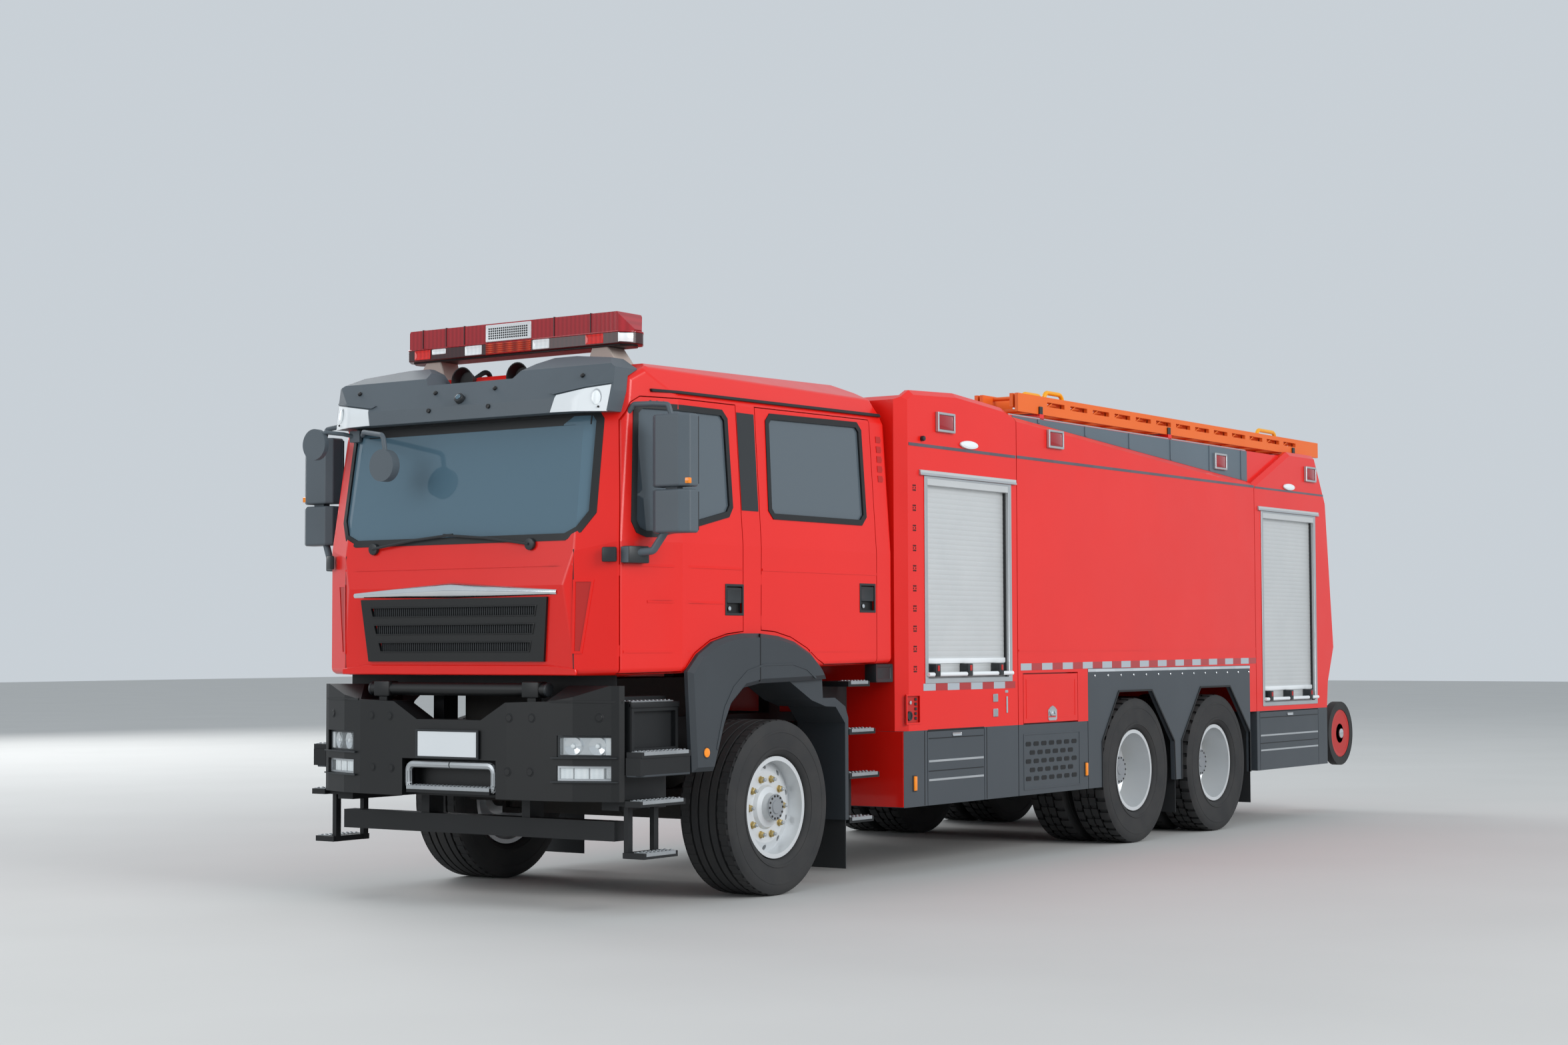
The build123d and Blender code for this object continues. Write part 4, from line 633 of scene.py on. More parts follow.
def finished(piece, material, body="chassis", smooth=30, stands_for=()):
    """Give a piece its material, its shading, the body it rides on and the nodes it stands for."""
    piece.data.materials.clear()
    piece.data.materials.append(material)
    if smooth:
        clear_selection()
        piece.select_set(True)
        bpy.context.view_layer.objects.active = piece
        bpy.ops.object.shade_smooth_by_angle(angle=math.radians(smooth))
    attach(piece, body)
    if stands_for:
        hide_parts(*stands_for)
    made.append(piece)
    return piece


def both(piece, material, body="chassis", **more):
    """Finish a piece named _left and its mirrored twin; body may hold SIDE for left or right."""
    finished(piece, material, body.replace("SIDE", "left"), **more)
    twin = twin_of(piece, piece.name.removesuffix("_left") + "_right")
    twin.data.transform(Matrix.Scale(-1, 4, (0, 1, 0)))
    twin.data.flip_normals()
    twin.parent = None
    return finished(twin, material, body.replace("SIDE", "right"), smooth=0)


def moved(piece, rule):
    """Shape a piece by moving each of its points with a rule."""
    for vertex in piece.data.vertices:
        vertex.co = rule(vertex.co)
    return piece


def turned_about(piece, centre, axis, degrees):
    """Turn a mesh about a point in mm."""
    spin = Matrix.Rotation(math.radians(degrees), 4, axis)
    piece.data.transform(Matrix.Translation(at(*centre)) @ spin @ Matrix.Translation(-at(*centre)))
    return piece


print("helpers ready")

# %% [markdown]
# ## Tyres
# A truck tyre is a body of revolution, so it starts as a cylinder as wide as the tread. The two
# caps are extruded and scaled ring by ring into the sidewalls, cuts across the axle divide the
# tread into ribs, and the rings between the ribs are sunk as grooves.

# %% One tyre from a cylinder
SHOULDER = 34                      # mm from the tread's edge to the tyre's full width
GROOVE_DEPTH = 0.014               # m


def tyre_body(name, radius, width, sides, grooves):
    """Tyre about the Z axis, grooves (low, high) in mm; returns it and its count of groove faces."""
    clear_selection()
    tread = width / 2 - SHOULDER
    bpy.ops.mesh.primitive_cylinder_add(vertices=sides, radius=radius / 1000, depth=tread / 500,
                                        location=(0, 0, 0))
    piece = bpy.context.object
    piece.name = piece.data.name = name
    half = width / 2
    rings = [(radius - 5, tread + 14), (radius - 20, half - 10), (radius - 40, half - 3),
             (radius - 62, half - 2), (radius - 64, half), (radius - 76, half), (radius - 78, half - 2),
             (radius - 120, half - 3), (352, half - 8), (350, half - 4), (336, half - 6),
             (334, half - 10), (316, half - 20), (308, half - 34), (302, half - 50)]
    for sign in (1, -1):
        edit(piece)
        select_faces(piece, lambda c, n: n.z * sign > 0.9)
        before_r, before_z = radius, tread
        for r, z in rings:
            step = (0, 0, sign * (z - before_z) / 1000)
            bpy.ops.mesh.extrude_region_move(TRANSFORM_OT_translate={"value": step})
            share = r / before_r
            bpy.ops.transform.resize(value=(share, share, 1), center_override=(0, 0, 0))
            before_r, before_z = r, z
        bpy.ops.mesh.delete(type="ONLY_FACE")
        close_edit()
    edit(piece, "EDGE")
    mesh = bmesh.from_edit_mesh(piece.data)
    for edge in mesh.edges:
        edge.select_set(edge.is_boundary)
    bmesh.update_edit_mesh(piece.data)
    bpy.ops.mesh.bridge_edge_loops()
    for low, high in grooves:
        for cut in (low, high):
            bpy.ops.mesh.select_all(action="SELECT")
            bpy.ops.mesh.bisect(plane_co=(0, 0, cut / 1000), plane_no=(0, 0, 1))
    bpy.ops.mesh.select_mode(type="FACE")
    def in_groove(c, n):
        outside = math.hypot(c.x, c.y) > (radius - 4) / 1000
        return outside and any(low / 1000 < c.z < high / 1000 for low, high in grooves)
    count = select_faces(piece, in_groove)
    bpy.ops.mesh.extrude_region_shrink_fatten(TRANSFORM_OT_shrink_fatten={"value": -GROOVE_DEPTH})
    close_edit()
    return piece, count


def around(piece, sides, every, low, high, depth, start=0, least=0.0):
    """Sink or raise every nth face of a tread ring between two stations across the tyre."""
    edit(piece)
    pitch = 2 * math.pi / sides
    def chosen(c, n):
        index = int(math.floor((math.atan2(c.y, c.x) % (2 * math.pi)) / pitch + 0.001))
        across = low / 1000 < abs(c.z) < high / 1000
        return across and math.hypot(c.x, c.y) > least and (index + start) % every == 0
    select_faces(piece, chosen)
    bpy.ops.mesh.extrude_region_shrink_fatten(TRANSFORM_OT_shrink_fatten={"value": depth / 1000})
    close_edit()


FRONT_R, FRONT_W, REAR_R, REAR_W = 512, 372, 532, 300
FRONT_Y, REAR_Y, TWIN_SHIFT = 1030, 910, 175      # mm, wheel middles and twin tyres beside them
REAR_AXLES = (("1", -4600), ("2", -6000))
front_grooves = [(-98, -84), (-42, -28), (28, 42), (84, 98)]
front_rubber, ribs = tyre_body("front_tyre_rubber", FRONT_R, FRONT_W, 96, front_grooves)
around(front_rubber, 96, 2, 140, 166, -5, 0, 0.49)
around(front_rubber, 96, 2, 99, 152, -2, 1, 0.505)
print("front tyre grooves cut:", ribs, "faces, points", len(front_rubber.data.vertices))

# %% [markdown]
# The driven axles carry a block tread: the shoulders are cut into lugs by deep cross slots, and
# two narrow zigzag grooves run between the centre blocks.

# %% Block tread of the driven tyres
rear_rubber, ribs = tyre_body("rear_tyre_rubber", REAR_R, REAR_W, 108, [(-72, -60), (-12, 0), (50, 62)])
around(rear_rubber, 108, 3, 73, 130, -14, 0, 0.5)
around(rear_rubber, 108, 3, 1, 49, -9, 1, 0.52)
print("rear tyre points", len(rear_rubber.data.vertices))


def lay_wheel(piece, name, x, y, z, material, body, stands_for=(), sign=1):
    """Copy a piece modelled about the Z axis on to an axle along Y, outer face away from the truck."""
    twin = twin_of(piece, name)
    turn = Matrix.Rotation(-math.pi / 2 * sign, 4, "X")
    twin.data.transform(Matrix.Translation(at(x, y, z)) @ turn)
    return finished(twin, material, body, 32, stands_for=stands_for)


for sign, side in SIDES:
    lay_wheel(front_rubber, "front_tyre_tread_" + side, 0, FRONT_Y * sign, FRONT_R, TYRE_RUBBER,
              "front_wheel_" + side, ("front_tyre_" + side,), sign)
    for number, x in REAR_AXLES:
        label = "%s_%s" % (number, side)
        for shift, twin, stands_for in ((TWIN_SHIFT, "outer", ("rear_tyres_" + label,)),
                                        (-TWIN_SHIFT, "inner", ())):
            lay_wheel(rear_rubber, "rear_tread_%s_%s" % (label, twin), x, (REAR_Y + shift) * sign,
                      REAR_R, TYRE_RUBBER, "rear_wheel_" + label, stands_for, sign)
for pattern in (front_rubber, rear_rubber):
    bpy.data.objects.remove(pattern)
print("tyres on", sum(1 for piece in made if "tread" in piece.name), "wheels")

# %% [markdown]
# ## Wheel nuts and hubs
# Ten nuts hold each wheel. A nut is a six-sided cylinder with a bevelled top and the stud's pale
# end standing out of it; one is modelled and nine copies are turned round the hub.

# %% Nuts, studs and hub caps
def ring_of(name, pattern, count, radius, height, turn=0.0):
    """Copies of a piece modelled at the origin along Z, set out on a circle."""
    parts = []
    for index in range(count):
        angle = 2 * math.pi * (index + turn) / count
        place = Vector((radius * math.cos(angle), radius * math.sin(angle), height)) / 1000
        twin = twin_of(pattern)
        twin.data.transform(Matrix.Translation(place) @ Matrix.Rotation(angle, 4, "Z"))
        parts.append(twin)
    return joined(name, parts)


def origin_disc(name, radius, depth, sides, bevel, height=0.0):
    """Bevelled disc about the Z axis at the origin, standing on height (mm)."""
    return disc(name, (-AXLE_X, 0, height + depth / 2), radius, depth, "Z", sides, bevel)


nut = origin_disc("nut_pattern", 18, 24, 6, 3)
washer = origin_disc("washer_pattern", 22, 5, 16, 1)
stud = origin_disc("stud_pattern", 10, 42, 12, 2)
nut_and_washer = joined("nut_pattern", [nut, washer])
small_bolt = origin_disc("small_bolt_pattern", 7, 9, 6, 1.5)
HUB_CAP_GREY = vehicle_paint("hub_cap_grey", "8E9296", "7A7E82", 0.4, 0.1)
for sign, side in SIDES:
    sets = [("front", 0, FRONT_Y, FRONT_R, 78, 150, 78, "front_wheel_" + side)]
    for number, x in REAR_AXLES:
        sets.append(("rear_" + number, x, REAR_Y, REAR_R, 14, 175, 100, "rear_wheel_%s_%s" % (number,
                side)))
    for label, x, y, z, face, nose, cap_r, body in sets:
        nuts = ring_of("nuts", nut_and_washer, 10, 168, face - 1)
        studs = ring_of("studs", stud, 10, 168, face - 1)
        bolts = ring_of("bolts", small_bolt, 14, cap_r - 12, nose - 1)
        cap = origin_disc("cap", 40, 10, 32, 4, nose - 1)
        groove = origin_disc("groove", cap_r, 6, 40, 2, nose - 3)
        cap = joined("cap", [cap, groove])
        for piece, word, material in ((nuts, "nuts", BRASS_NUT), (studs, "studs", RAIL_ALUMINIUM_AND_EDGE_HIGHLIGHT),
                                      (bolts, "cap_bolts", DARK_CASTING), (cap, "cap", HUB_CAP_GREY)):
            lay_wheel(piece, "%s_wheel_%s_%s" % (label, word, side), x, y * sign, z, material, body, (),
                      sign)
            bpy.data.objects.remove(piece)
for pattern in (nut_and_washer, stud, small_bolt):
    bpy.data.objects.remove(pattern)
print("wheel fittings", sum(1 for piece in made if "wheel" in piece.name))

# %% [markdown]
# ## Cab sides
# The cab's skin is made of flat faces that lean to each other. The two functions below give the
# outermost point of that skin at a place in side or front view, so that frames, seals and strips
# drawn flat can be laid on to it.

# %% Where the cab's skin lies
SIDE_FACES = [  # three corners of each face in mm
    [(0, 1200, 1300), (100, 1200, 1300), (0, 1200, 2000)],
    [(0, 1200, 2030), (100, 1200, 2030), (0, 1145, 2850)],
    [(0, 1145, 2850), (100, 1145, 2850), (0, 1065, 3010)],
    [(0, 1065, 3010), (100, 1065, 3010), (0, 850, 3112)],
    [(1458, 880, 1500), (1354, 1090, 1500), (1458, 880, 1800)],
    [(1450, 880, 2030), (1354, 1090, 2030), (1330, 868, 2790)],
    [(1354, 1090, 1500), (930, 1200, 1500), (930, 1200, 1800)],
    [(1354, 1090, 2030), (930, 1200, 2030), (1268, 1052, 2810)],
]
FRONT_FACES = [
    [(1462, 0, 1294), (1492, 0, 1750), (1492, 100, 1750)],
    [(1462, 0, 2010), (1345, 0, 2790), (1345, 100, 2790)],
    [(1345, 0, 2790), (1255, 0, 2930), (1255, 100, 2930)],
    [(1255, 0, 2930), (1049, 0, 3035), (1049, 100, 3035)],
] + SIDE_FACES[4:]


def on_faces(faces, lane, spot, out=0.0):
    """Lowest value along a lane (0 for X, 1 for Y) at which a face, moved out by mm, passes a spot."""
    reach = []
    for corners in faces:
        p, q, r = (Vector(corner) for corner in corners)
        normal = (q - p).cross(r - p)
        rest = sum(normal[i] * (spot[i] - p[i]) for i in range(3) if i != lane)
        reach.append(p[lane] - rest / normal[lane] + out * normal.length / abs(normal[lane]))
    return min(reach)


def side_y(x, z):
    return on_faces(SIDE_FACES, 1, (x, 0, z))


def front_x(y, z, out=0.0):
    return on_faces(FRONT_FACES, 0, (0, abs(y), z), out)


def on_side(piece):
    """Lay a flat piece, whose Y is its height in mm, on to the cab's left side."""
    return moved(piece, lambda c: Vector((c.x, c.y + side_y(c.x * 1000 - AXLE_X, c.z * 1000) / 1000,
                                          c.z)))


def on_front(piece, out=0.0):
    """Lay a flat piece, X its height in mm, on to the cab's front, or on a shell out mm before it."""
    return moved(piece, lambda c: Vector((c.x + front_x(c.y * 1000, c.z * 1000, out) / 1000, c.y, c.z)))


def dense(points, step=60.0):
    """Outline with points added, so that it can bend with the skin."""
    out = []
    for (u0, v0), (u1, v1) in zip(points, points[1:] + points[:1]):
        count = max(1, int(math.hypot(u1 - u0, v1 - v0) // step))
        out += [(u0 + (u1 - u0) * i / count, v0 + (v1 - v0) * i / count) for i in range(count)]
    return out


def spread(points, amount):
    """Outline with each point moved outwards along its corner's bisector."""
    area = sum(a[0] * b[1] - b[0] * a[1] for a, b in zip(points, points[1:] + points[:1]))
    sign = 1 if area > 0 else -1
    out = []
    for i, (u, v) in enumerate(points):
        before, after = points[i - 1], points[(i + 1) % len(points)]
        n1 = Vector((v - before[1], before[0] - u)).normalized()
        n2 = Vector((after[1] - v, u - after[0])).normalized()
        bisector = (n1 + n2).normalized()
        reach = amount / max(0.5, bisector.dot(n1))
        out.append((u + sign * bisector.x * reach, v + sign * bisector.y * reach))
    return out


print("side of the cab at the belt line: y", round(side_y(0, 2030)), "front at its middle: x",
      round(front_x(0, 2030)))

# %% [markdown]
# Each door pane sits in a black rubber frame that is wider along its lower edge. Between the two
# side windows the pillar is covered by a glossy black plate, and a thin black seal follows the
# pane itself.

# %% Window frames on the doors
FRONT_PANE = [(1222, 2098), (1244, 2144), (1186, 2748), (1150, 2780), (498, 2784), (464, 2752),
              (458, 2256), (490, 2214), (1100, 2083), (1172, 2080)]
REAR_PANE = [(18, 2223), (50, 2256), (32, 2768), (0, 2799), (-926, 2817), (-958, 2786), (-960, 2262),
             (-918, 2223)]
for door, pane in (("front_door", FRONT_PANE), ("rear_door", REAR_PANE)):
    outline = dense(pane, 90)
    frame_piece = on_side(ring_from(door + "_window_frame_left", spread(outline, 26),
                                    spread(outline, -9), -7, 5))
    both(frame_piece, SEAL_RUBBER_AND_VISOR_SHADOW, door + "_SIDE")
corners = [(178, 2236), (344, 2236), (344, 2806), (172, 2806)]
plate = on_side(sheet_from("window_post_plate_left", corners, -2, 3, bevel=1.5))
both(plate, HANDLE_BLACK)
print("window frames:", len(made), "pieces so far")

# %% [markdown]
# The handles are black flaps in the square pockets of the doors: a shallow tray fills the pocket,
# a hinged flap with rounded corners lies in it, and a lock cylinder shows beside the flap.

# %% Door handles
HANDLES = [("front_door", 437, 1719), ("rear_door", -974, 1749)]
for door, x, z in HANDLES:
    tray = block(door + "_handle_tray_left", (x - 83, x + 83), (1178, 1184), (z - 83, z + 83), 2)
    edit(tray)
    select_faces(tray, lambda c, n: n.y > 0.9)
    bpy.ops.mesh.inset(thickness=0.012, depth=0)
    bpy.ops.mesh.extrude_region_move(TRANSFORM_OT_translate={"value": (0, -0.004, 0)})
    close_edit()
    both(tray, BUMPER_BLACK, door + "_SIDE")
    rim = ring_from(door + "_handle_rim_left", rect(x - 90, x + 90, z - 90, z + 90),
                    rect(x - 76, x + 76, z - 76, z + 76), 1194, 1204, bevel=2)
    both(rim, HANDLE_BLACK, door + "_SIDE")
    flap = block(door + "_handle_flap_left", (x - 72, x + 72), (1188, 1202), (z - 20, z + 70), 6, 2)
    press(flap, "y", (0.01, -0.004))
    both(flap, HANDLE_BLACK, door + "_SIDE")
    lock = disc(door + "_lock_left", (x + 40, 1190, z - 50), 13, 16, sides=16)
    both(lock, CHROME, door + "_SIDE")
print("door handles on", len(HANDLES), "doors a side")

# %% [markdown]
# A dark drip gutter runs above the doors, two pressed creases run along them, and small vent
# slots and plugs sit at the top of the front door and on the rear post.

# %% Gutter, creases and vents
corners = [(1085, 2868), (1090, 2884), (-1240, 2918), (-1240, 2898)]
gutter = on_side(sheet_from("drip_gutter_left", dense(corners, 200), -4, 16, bevel=2))
both(gutter, SEAL_RUBBER_AND_VISOR_SHADOW)
CREASES = [("front_door", 1700, 545, 1170), ("front_door", 1425, 865, 1330),
           ("front_door", 1898, 360, 1330), ("rear_door", 1898, -1075, 160),
           ("rear_door", 1425, -1070, -330)]
for number, (door, z, x0, x1) in enumerate(CREASES):
    corners = dense(rect(x0, x1, z - 7, z + 7), 150)
    line = on_side(sheet_from("%s_crease_%d_left" % (door, number), corners, -1, 3.5))
    both(line, FIRE_RED, door + "_SIDE")
vents = []
for i in range(3):
    vent = disc("vent_plug_%d" % i, (1090 - 45 * i, 2, 2812), 8, 5, sides=12)
    vents.append(on_side(vent))
both(joined("door_vent_plugs_left", vents), HANDLE_BLACK, "front_door_SIDE")
# The five louvre slots on the rear post are laid in a darker red as painted shade.
slots = []
for i in range(5):
    corners = [(-1150, 2480 + 62 * i), (-1200, 2480 + 62 * i), (-1208, 2500 + 62 * i),
               (-1200, 2520 + 62 * i), (-1150, 2520 + 62 * i)]
    slots.append(on_side(sheet_from("post_slot_%d" % i, corners, -1, 3)))
both(joined("rear_post_slots_left", slots), REEL_RED_AND_RECESS_SHADE)
print("gutter, creases and vents done")

# %% [markdown]
# Each mirror has two shells on one arm. The glass faces back, so from the front one sees grained
# shells with a lighter rim, an orange flasher at the outer lower corner, and two mounting blocks.

# %% Mirror details
for low, high, label in ((2076, 2300, "lower"), (2330, 2712, "upper")):
    pane = block("mirror_%s_pane_left" % label, (1124, 1131), (1232, 1448), (low + 16, high - 12), 3, 2)
    both(pane, CHROME, "front_door_SIDE")
    rim = ring_from("mirror_%s_rim_left" % label, rect(1222, 1458, low + 8, high - 4),
                    rect(1234, 1446, low + 18, high - 14), 1120, 1134, "X", 2)
    both(rim, HANDLE_BLACK, "front_door_SIDE")
flasher = block("mirror_flasher_left", (1200, 1228), (1420, 1467), (2336, 2368), 4, 2)
both(flasher, AMBER_LENS, "front_door_SIDE")
corners = [(1410, 1010), (1428, 1028), (1397, 1096), (1372, 1090)]
boss = sheet_from("mirror_boss_front_left", corners, 1914, 1996, "Z", 8, 2)
both(boss, HANDLE_BLACK)
corners = [(1342, 1096), (1344, 1150), (1204, 1182), (1198, 1130)]
boss = sheet_from("mirror_boss_rear_left", corners, 1908, 2002, "Z", 7, 2)
both(boss, HANDLE_BLACK, "front_door_SIDE")
print("mirror details done")

# %% [markdown]
# The steps are deep boxes with open treads of punched aluminium. A tread is a plate with two
# rows of raised round teeth; one row of teeth is modelled and copied along the plate.

# %% Punched treads of the steps
TREADS = [(1153, 905, 1320, 1050, 1128), (881, 905, 1345, 1150, 1236), (617, 955, 1358, 1150, 1236),
          (336, 1026, 1326, 1150, 1236), (1236, -1003, -770, 1100, 1193), (943, -1057, -770, 1100,
        1198), (673, -1100, -770, 1100, 1198), (404, -1033, -770, 1100, 1198)]
for number, (z, x0, x1, y0, y1) in enumerate(TREADS):
    plate = block("step_tread_%d_left" % number, (x0 + 20, x1 - 20), (y0, y1 + 4), (z - 18, z + 3), 1.5)
    tooth = disc("tread_tooth", (x0 + 30, y0 + 22, z + 4), 8, 7, "Z", 10, 1)
    pitch = (x1 - x0 - 60) / max(1, int((x1 - x0 - 60) / 34))
    count = int(round((x1 - x0 - 60) / pitch))
    copies(tooth, [(pitch * i, row, 0) for row in (0, (y1 - y0) - 44) for i in range(count + 1) if i
                   or row])
    both(joined("step_tread_%d_left" % number, [plate, tooth]), TREAD_ALUMINIUM)
lip = block("step_box_lip_left", (900, 1326), (1140, 1158), (1118, 1150), 5, 2)
both(lip, FRAME_BLACK_AND_PAINTED_SHADE)
corners = [(1352, 1134), (1352, 1200), (1310, 1234), (905, 1234), (905, 1134)]
cowl = sheet_from("step_box_cowl_left", corners, 746, 760, "Z", 4)
both(cowl, FLARE_BLACK)
intake = block("intake_box_left", (-1302, -1104), (1090, 1180), (1224, 1340), 8, 2)
press(intake, "y", (0.014, -0.01))
both(intake, HANDLE_BLACK)
print("treads:", len(TREADS), "a side; pieces so far", len(made))

# %% [markdown]
# The flares are grained plastic with a pressed crease parallel to the wheel, a seam above the
# wheel, and a round amber lamp in front.

# %% Flare details
CREST = [(-326, 1267), (-229, 1322), (-85, 1353), (221, 1350), (381, 1315), (516, 1225), (605, 1110),
         (649, 982), (682, 880)]
crest_inner = [(x * 0.985, z - 10) for x, z in CREST][::-1]
crest = sheet_from("flare_crest_left", CREST + crest_inner, 1244, 1253)
both(crest, FLARE_BLACK)
seam = block("flare_seam_left", (246, 254), (1240, 1251.5), (1250, 1526), 0)
both(seam, SEAL_RUBBER_AND_VISOR_SHADOW)
lamp = disc("flare_lamp_left", (774, 1248, 860), 27, 16, sides=24, bevel=5, segments=2)
both(lamp, AMBER_LENS)
bezel = disc("flare_lamp_ring_left", (774, 1246, 860), 34, 12, sides=24, bevel=2)
both(bezel, HANDLE_BLACK)
print("flares done, pieces", len(made))

# %% [markdown]
# ## Front of the cab
# The windscreen is bonded in with a black printed edge, and a broad black band along its top is
# painted shadow of the sun visor. Two wipers park along its lower edge.

# %% Windscreen edge and wipers
SCREEN = [(-790, 2050), (790, 2050), (880, 2090), (945, 2190), (935, 2706), (902, 2755), (-902, 2755),
          (-935, 2706), (-945, 2190), (-880, 2090)]
outline = dense(SCREEN, 80)
edge = on_front(ring_from("windscreen_edge", spread(outline, 14), spread(outline, -26), -12, 3, "X"))
finished(edge, SEAL_RUBBER_AND_VISOR_SHADOW)
# Painted shadow: the black band stands for the sun visor's shadow on the glass.
band = on_front(sheet_from("windscreen_visor_painted_shadow", dense(rect(-880, 880, 2680, 2742), 100), -9, -6, "X"))
finished(band, SEAL_RUBBER_AND_VISOR_SHADOW)
WIPERS = [("left", 553, -90), ("right", -633, -20)]
for label, pivot, tip in WIPERS:
    pad = disc("wiper_pad_" + label, (front_x(pivot, 2022) + 12, pivot, 2022), 34, 24, "X", 20, 5, 2)
    finished(pad, HANDLE_BLACK)
    middle = (pivot + tip) / 2
    points = [(front_x(pivot, 2022) + 26, pivot, 2022), (front_x(middle, 2065) + 26, middle, 2065),
              (front_x(tip, 2090) + 22, tip, 2090)]
    arm = tube("wiper_arm_" + label, points, 8)
    finished(arm, HANDLE_BLACK)
    blade = block("wiper_blade_" + label, (6, 20), (tip - 330, tip + 330), (2074, 2092), 3)
    edit(blade, "EDGE")
    bpy.ops.mesh.select_all(action="SELECT")
    bpy.ops.mesh.subdivide(number_cuts=3)
    close_edit()
    place = Matrix.Translation((-AXLE_X / 1000, 0, 0))
    blade.data.transform(place)
    finished(on_front(blade), SEAL_RUBBER_AND_VISOR_SHADOW)
print("windscreen edge and", len(WIPERS), "wipers")

# %% [markdown]
# Behind the grille plate lie dark strands on a black sheet of painted shade, seen through three long
# slots with rounded ends. A tapered chromed bar with a rounded face crosses its top, and the red
# corner panels carry an upright recess and a curved lower lip.

# %% Grille
def grille_x(z):
    """Front face of the grille plate at a height."""
    return front_x(0, z) + 16.3


for z, reach in ((1430, 560), (1530, 590), (1630, 610)):
    # A black sheet of painted shade behind the strands stands for the dark depth of each slot.
    back = block("grille_back_painted_shade_%d" % z, (grille_x(z) - 15, grille_x(z) - 13), (-reach - 6, reach + 6),
                 (z - 1, z + 49), 0)
    finished(back, FRAME_BLACK_AND_PAINTED_SHADE, smooth=0)
    strand = block("grille_strands_%d" % z, (grille_x(z) - 12, grille_x(z) - 8), (-reach, 5 - reach),
                   (z + 1, z + 47), 0)
    strand = copies(strand, [(0, 16 * i, 0) for i in range(1, int(2 * reach / 16))])
    finished(strand, HANDLE_BLACK, smooth=0)
    outline = dense([(-reach, z), (reach, z), (reach + 12, z + 48), (-reach - 12, z + 48)], 60)
    rim = ring_from("grille_slot_rim_%d" % z, spread(outline, 7), spread(outline, -1), -2, 4, "X", 2)
    finished(moved(rim, lambda c: Vector((c.x + grille_x(c.z * 1000) / 1000, c.y, c.z))), BUMPER_BLACK)
BAR_SECTION = [(0, 1731), (10, 1734), (22, 1752), (26, 1774), (22, 1796), (10, 1814), (0, 1817)]
corners = [(grille_x(1774) - 12 + u, v) for u, v in BAR_SECTION]
bar = sheet_from("grille_chrome_bar", corners, -763, 763, "Y")
edit(bar, "EDGE")
bpy.ops.mesh.select_all(action="SELECT")
bpy.ops.mesh.bisect(plane_co=at(0, 0, 0), plane_no=(0, 1, 0))
close_edit()


def tapered(c):
    share = max(0.0, (abs(c.y) - 0.35) / 0.413)
    return Vector((c.x - 0.02 * share, c.y, 1.74 + (c.z - 1.74) * (1 - 0.6 * share)))


finished(moved(bar, tapered), CHROME, smooth=50)
print("grille done, pieces", len(made))

# %% [markdown]
# On the real cab the corner panels are separate pressings. Here each seam and recess is a thin
# piece laid on the curved front, which costs far fewer faces than cutting the front itself.

# %% Corner panels and lower lip
for sign, label in SIDES:
    outline = [(866, 1428), (895, 1428), (952, 1808), (872, 1808)]
    recess = dense([(sign * y, z) for y, z in outline], 120)
    rim = ring_from("corner_recess_" + label, spread(recess, 12), recess, -1, 5, "X")
    finished(on_front(rim), FIRE_RED)
    # The recess floor's darker red is painted shade inside the recess.
    corners = dense([(sign * y, z) for y, z in spread(outline, -2)], 120)
    floor_piece = on_front(sheet_from("corner_recess_floor_" + label, corners, -2, 1.5, "X"))
    finished(floor_piece, REEL_RED_AND_RECESS_SHADE)
    corners = dense(rect(sign * 856, sign * 862, 1300, 1986), 120)
    seam_piece = on_front(sheet_from("corner_seam_" + label, corners, -1, 1.2, "X"))
    finished(seam_piece, SEAL_RUBBER_AND_VISOR_SHADOW)
corners = [(-880, 1298), (880, 1298), (880, 1330), (690, 1352), (-690, 1352), (-880, 1330)]
lip = on_front(sheet_from("front_lower_lip", dense(corners, 110), -2, 14, "X", 4))
finished(lip, FIRE_RED)
line = on_front(sheet_from("front_crease", dense(rect(-860, 860, 1896, 1910), 110), -1, 4, "X"))
finished(line, FIRE_RED)
print("corner panels done")

# %% [markdown]
# The bumper is one grained moulding with raised shoulder pads over the lamps and round plugs in
# its face. Its blank number plate sits on a black carrier. The headlamps are two chromed bowls
# behind a clear cover; the fog lamps below are three flat segments.

# %% Bumper
def bumper_x(y):
    """Front face of the bumper at a distance from the middle."""
    rows = [(430, 1525), (700, 1507), (860, 1474), (1066, 1396), (1106, 1376), (1124, 1352)]
    y = abs(y)
    if y <= rows[0][0]:
        return rows[0][1]
    for (y0, x0), (y1, x1) in zip(rows, rows[1:]):
        if y <= y1:
            return x0 + (x1 - x0) * (y - y0) / (y1 - y0)
    return rows[-1][1]


def on_bumper(piece):
    """Lay a flat piece, whose X is its height in mm, on to the bumper's face."""
    return moved(piece, lambda c: Vector((c.x + bumper_x(c.y * 1000) / 1000, c.y, c.z)))


edge = [(720, 1148), (1118, 1146), (1118, 1158), (720, 1160)]
both(on_bumper(sheet_from("bumper_shoulder_line_left", dense(edge, 40), -6, 3, "X")), BUMPER_BLACK)
for z, label in ((850, "upper"), (719, "lower")):
    ledge = dense([(736, z - 6), (1102, z - 4), (1102, z + 3), (736, z + 3)], 40)
    both(on_bumper(sheet_from("lamp_ledge_%s_left" % label, ledge, -8, 16, "X")), HANDLE_BLACK)
PLUGS = [(449, 1062), (603, 1063), (1002, 1067), (438, 765), (592, 767)]


def plug_disc(y, z, radius, rise):
    slant = math.degrees(math.atan2(bumper_x(y - 20) - bumper_x(y + 20), 40))
    return turned_about(disc("bumper_plug", (bumper_x(y) + rise - 5, y, z), radius, 10, "X", 20, 2),
                        (bumper_x(y), y, z), "Z", slant)


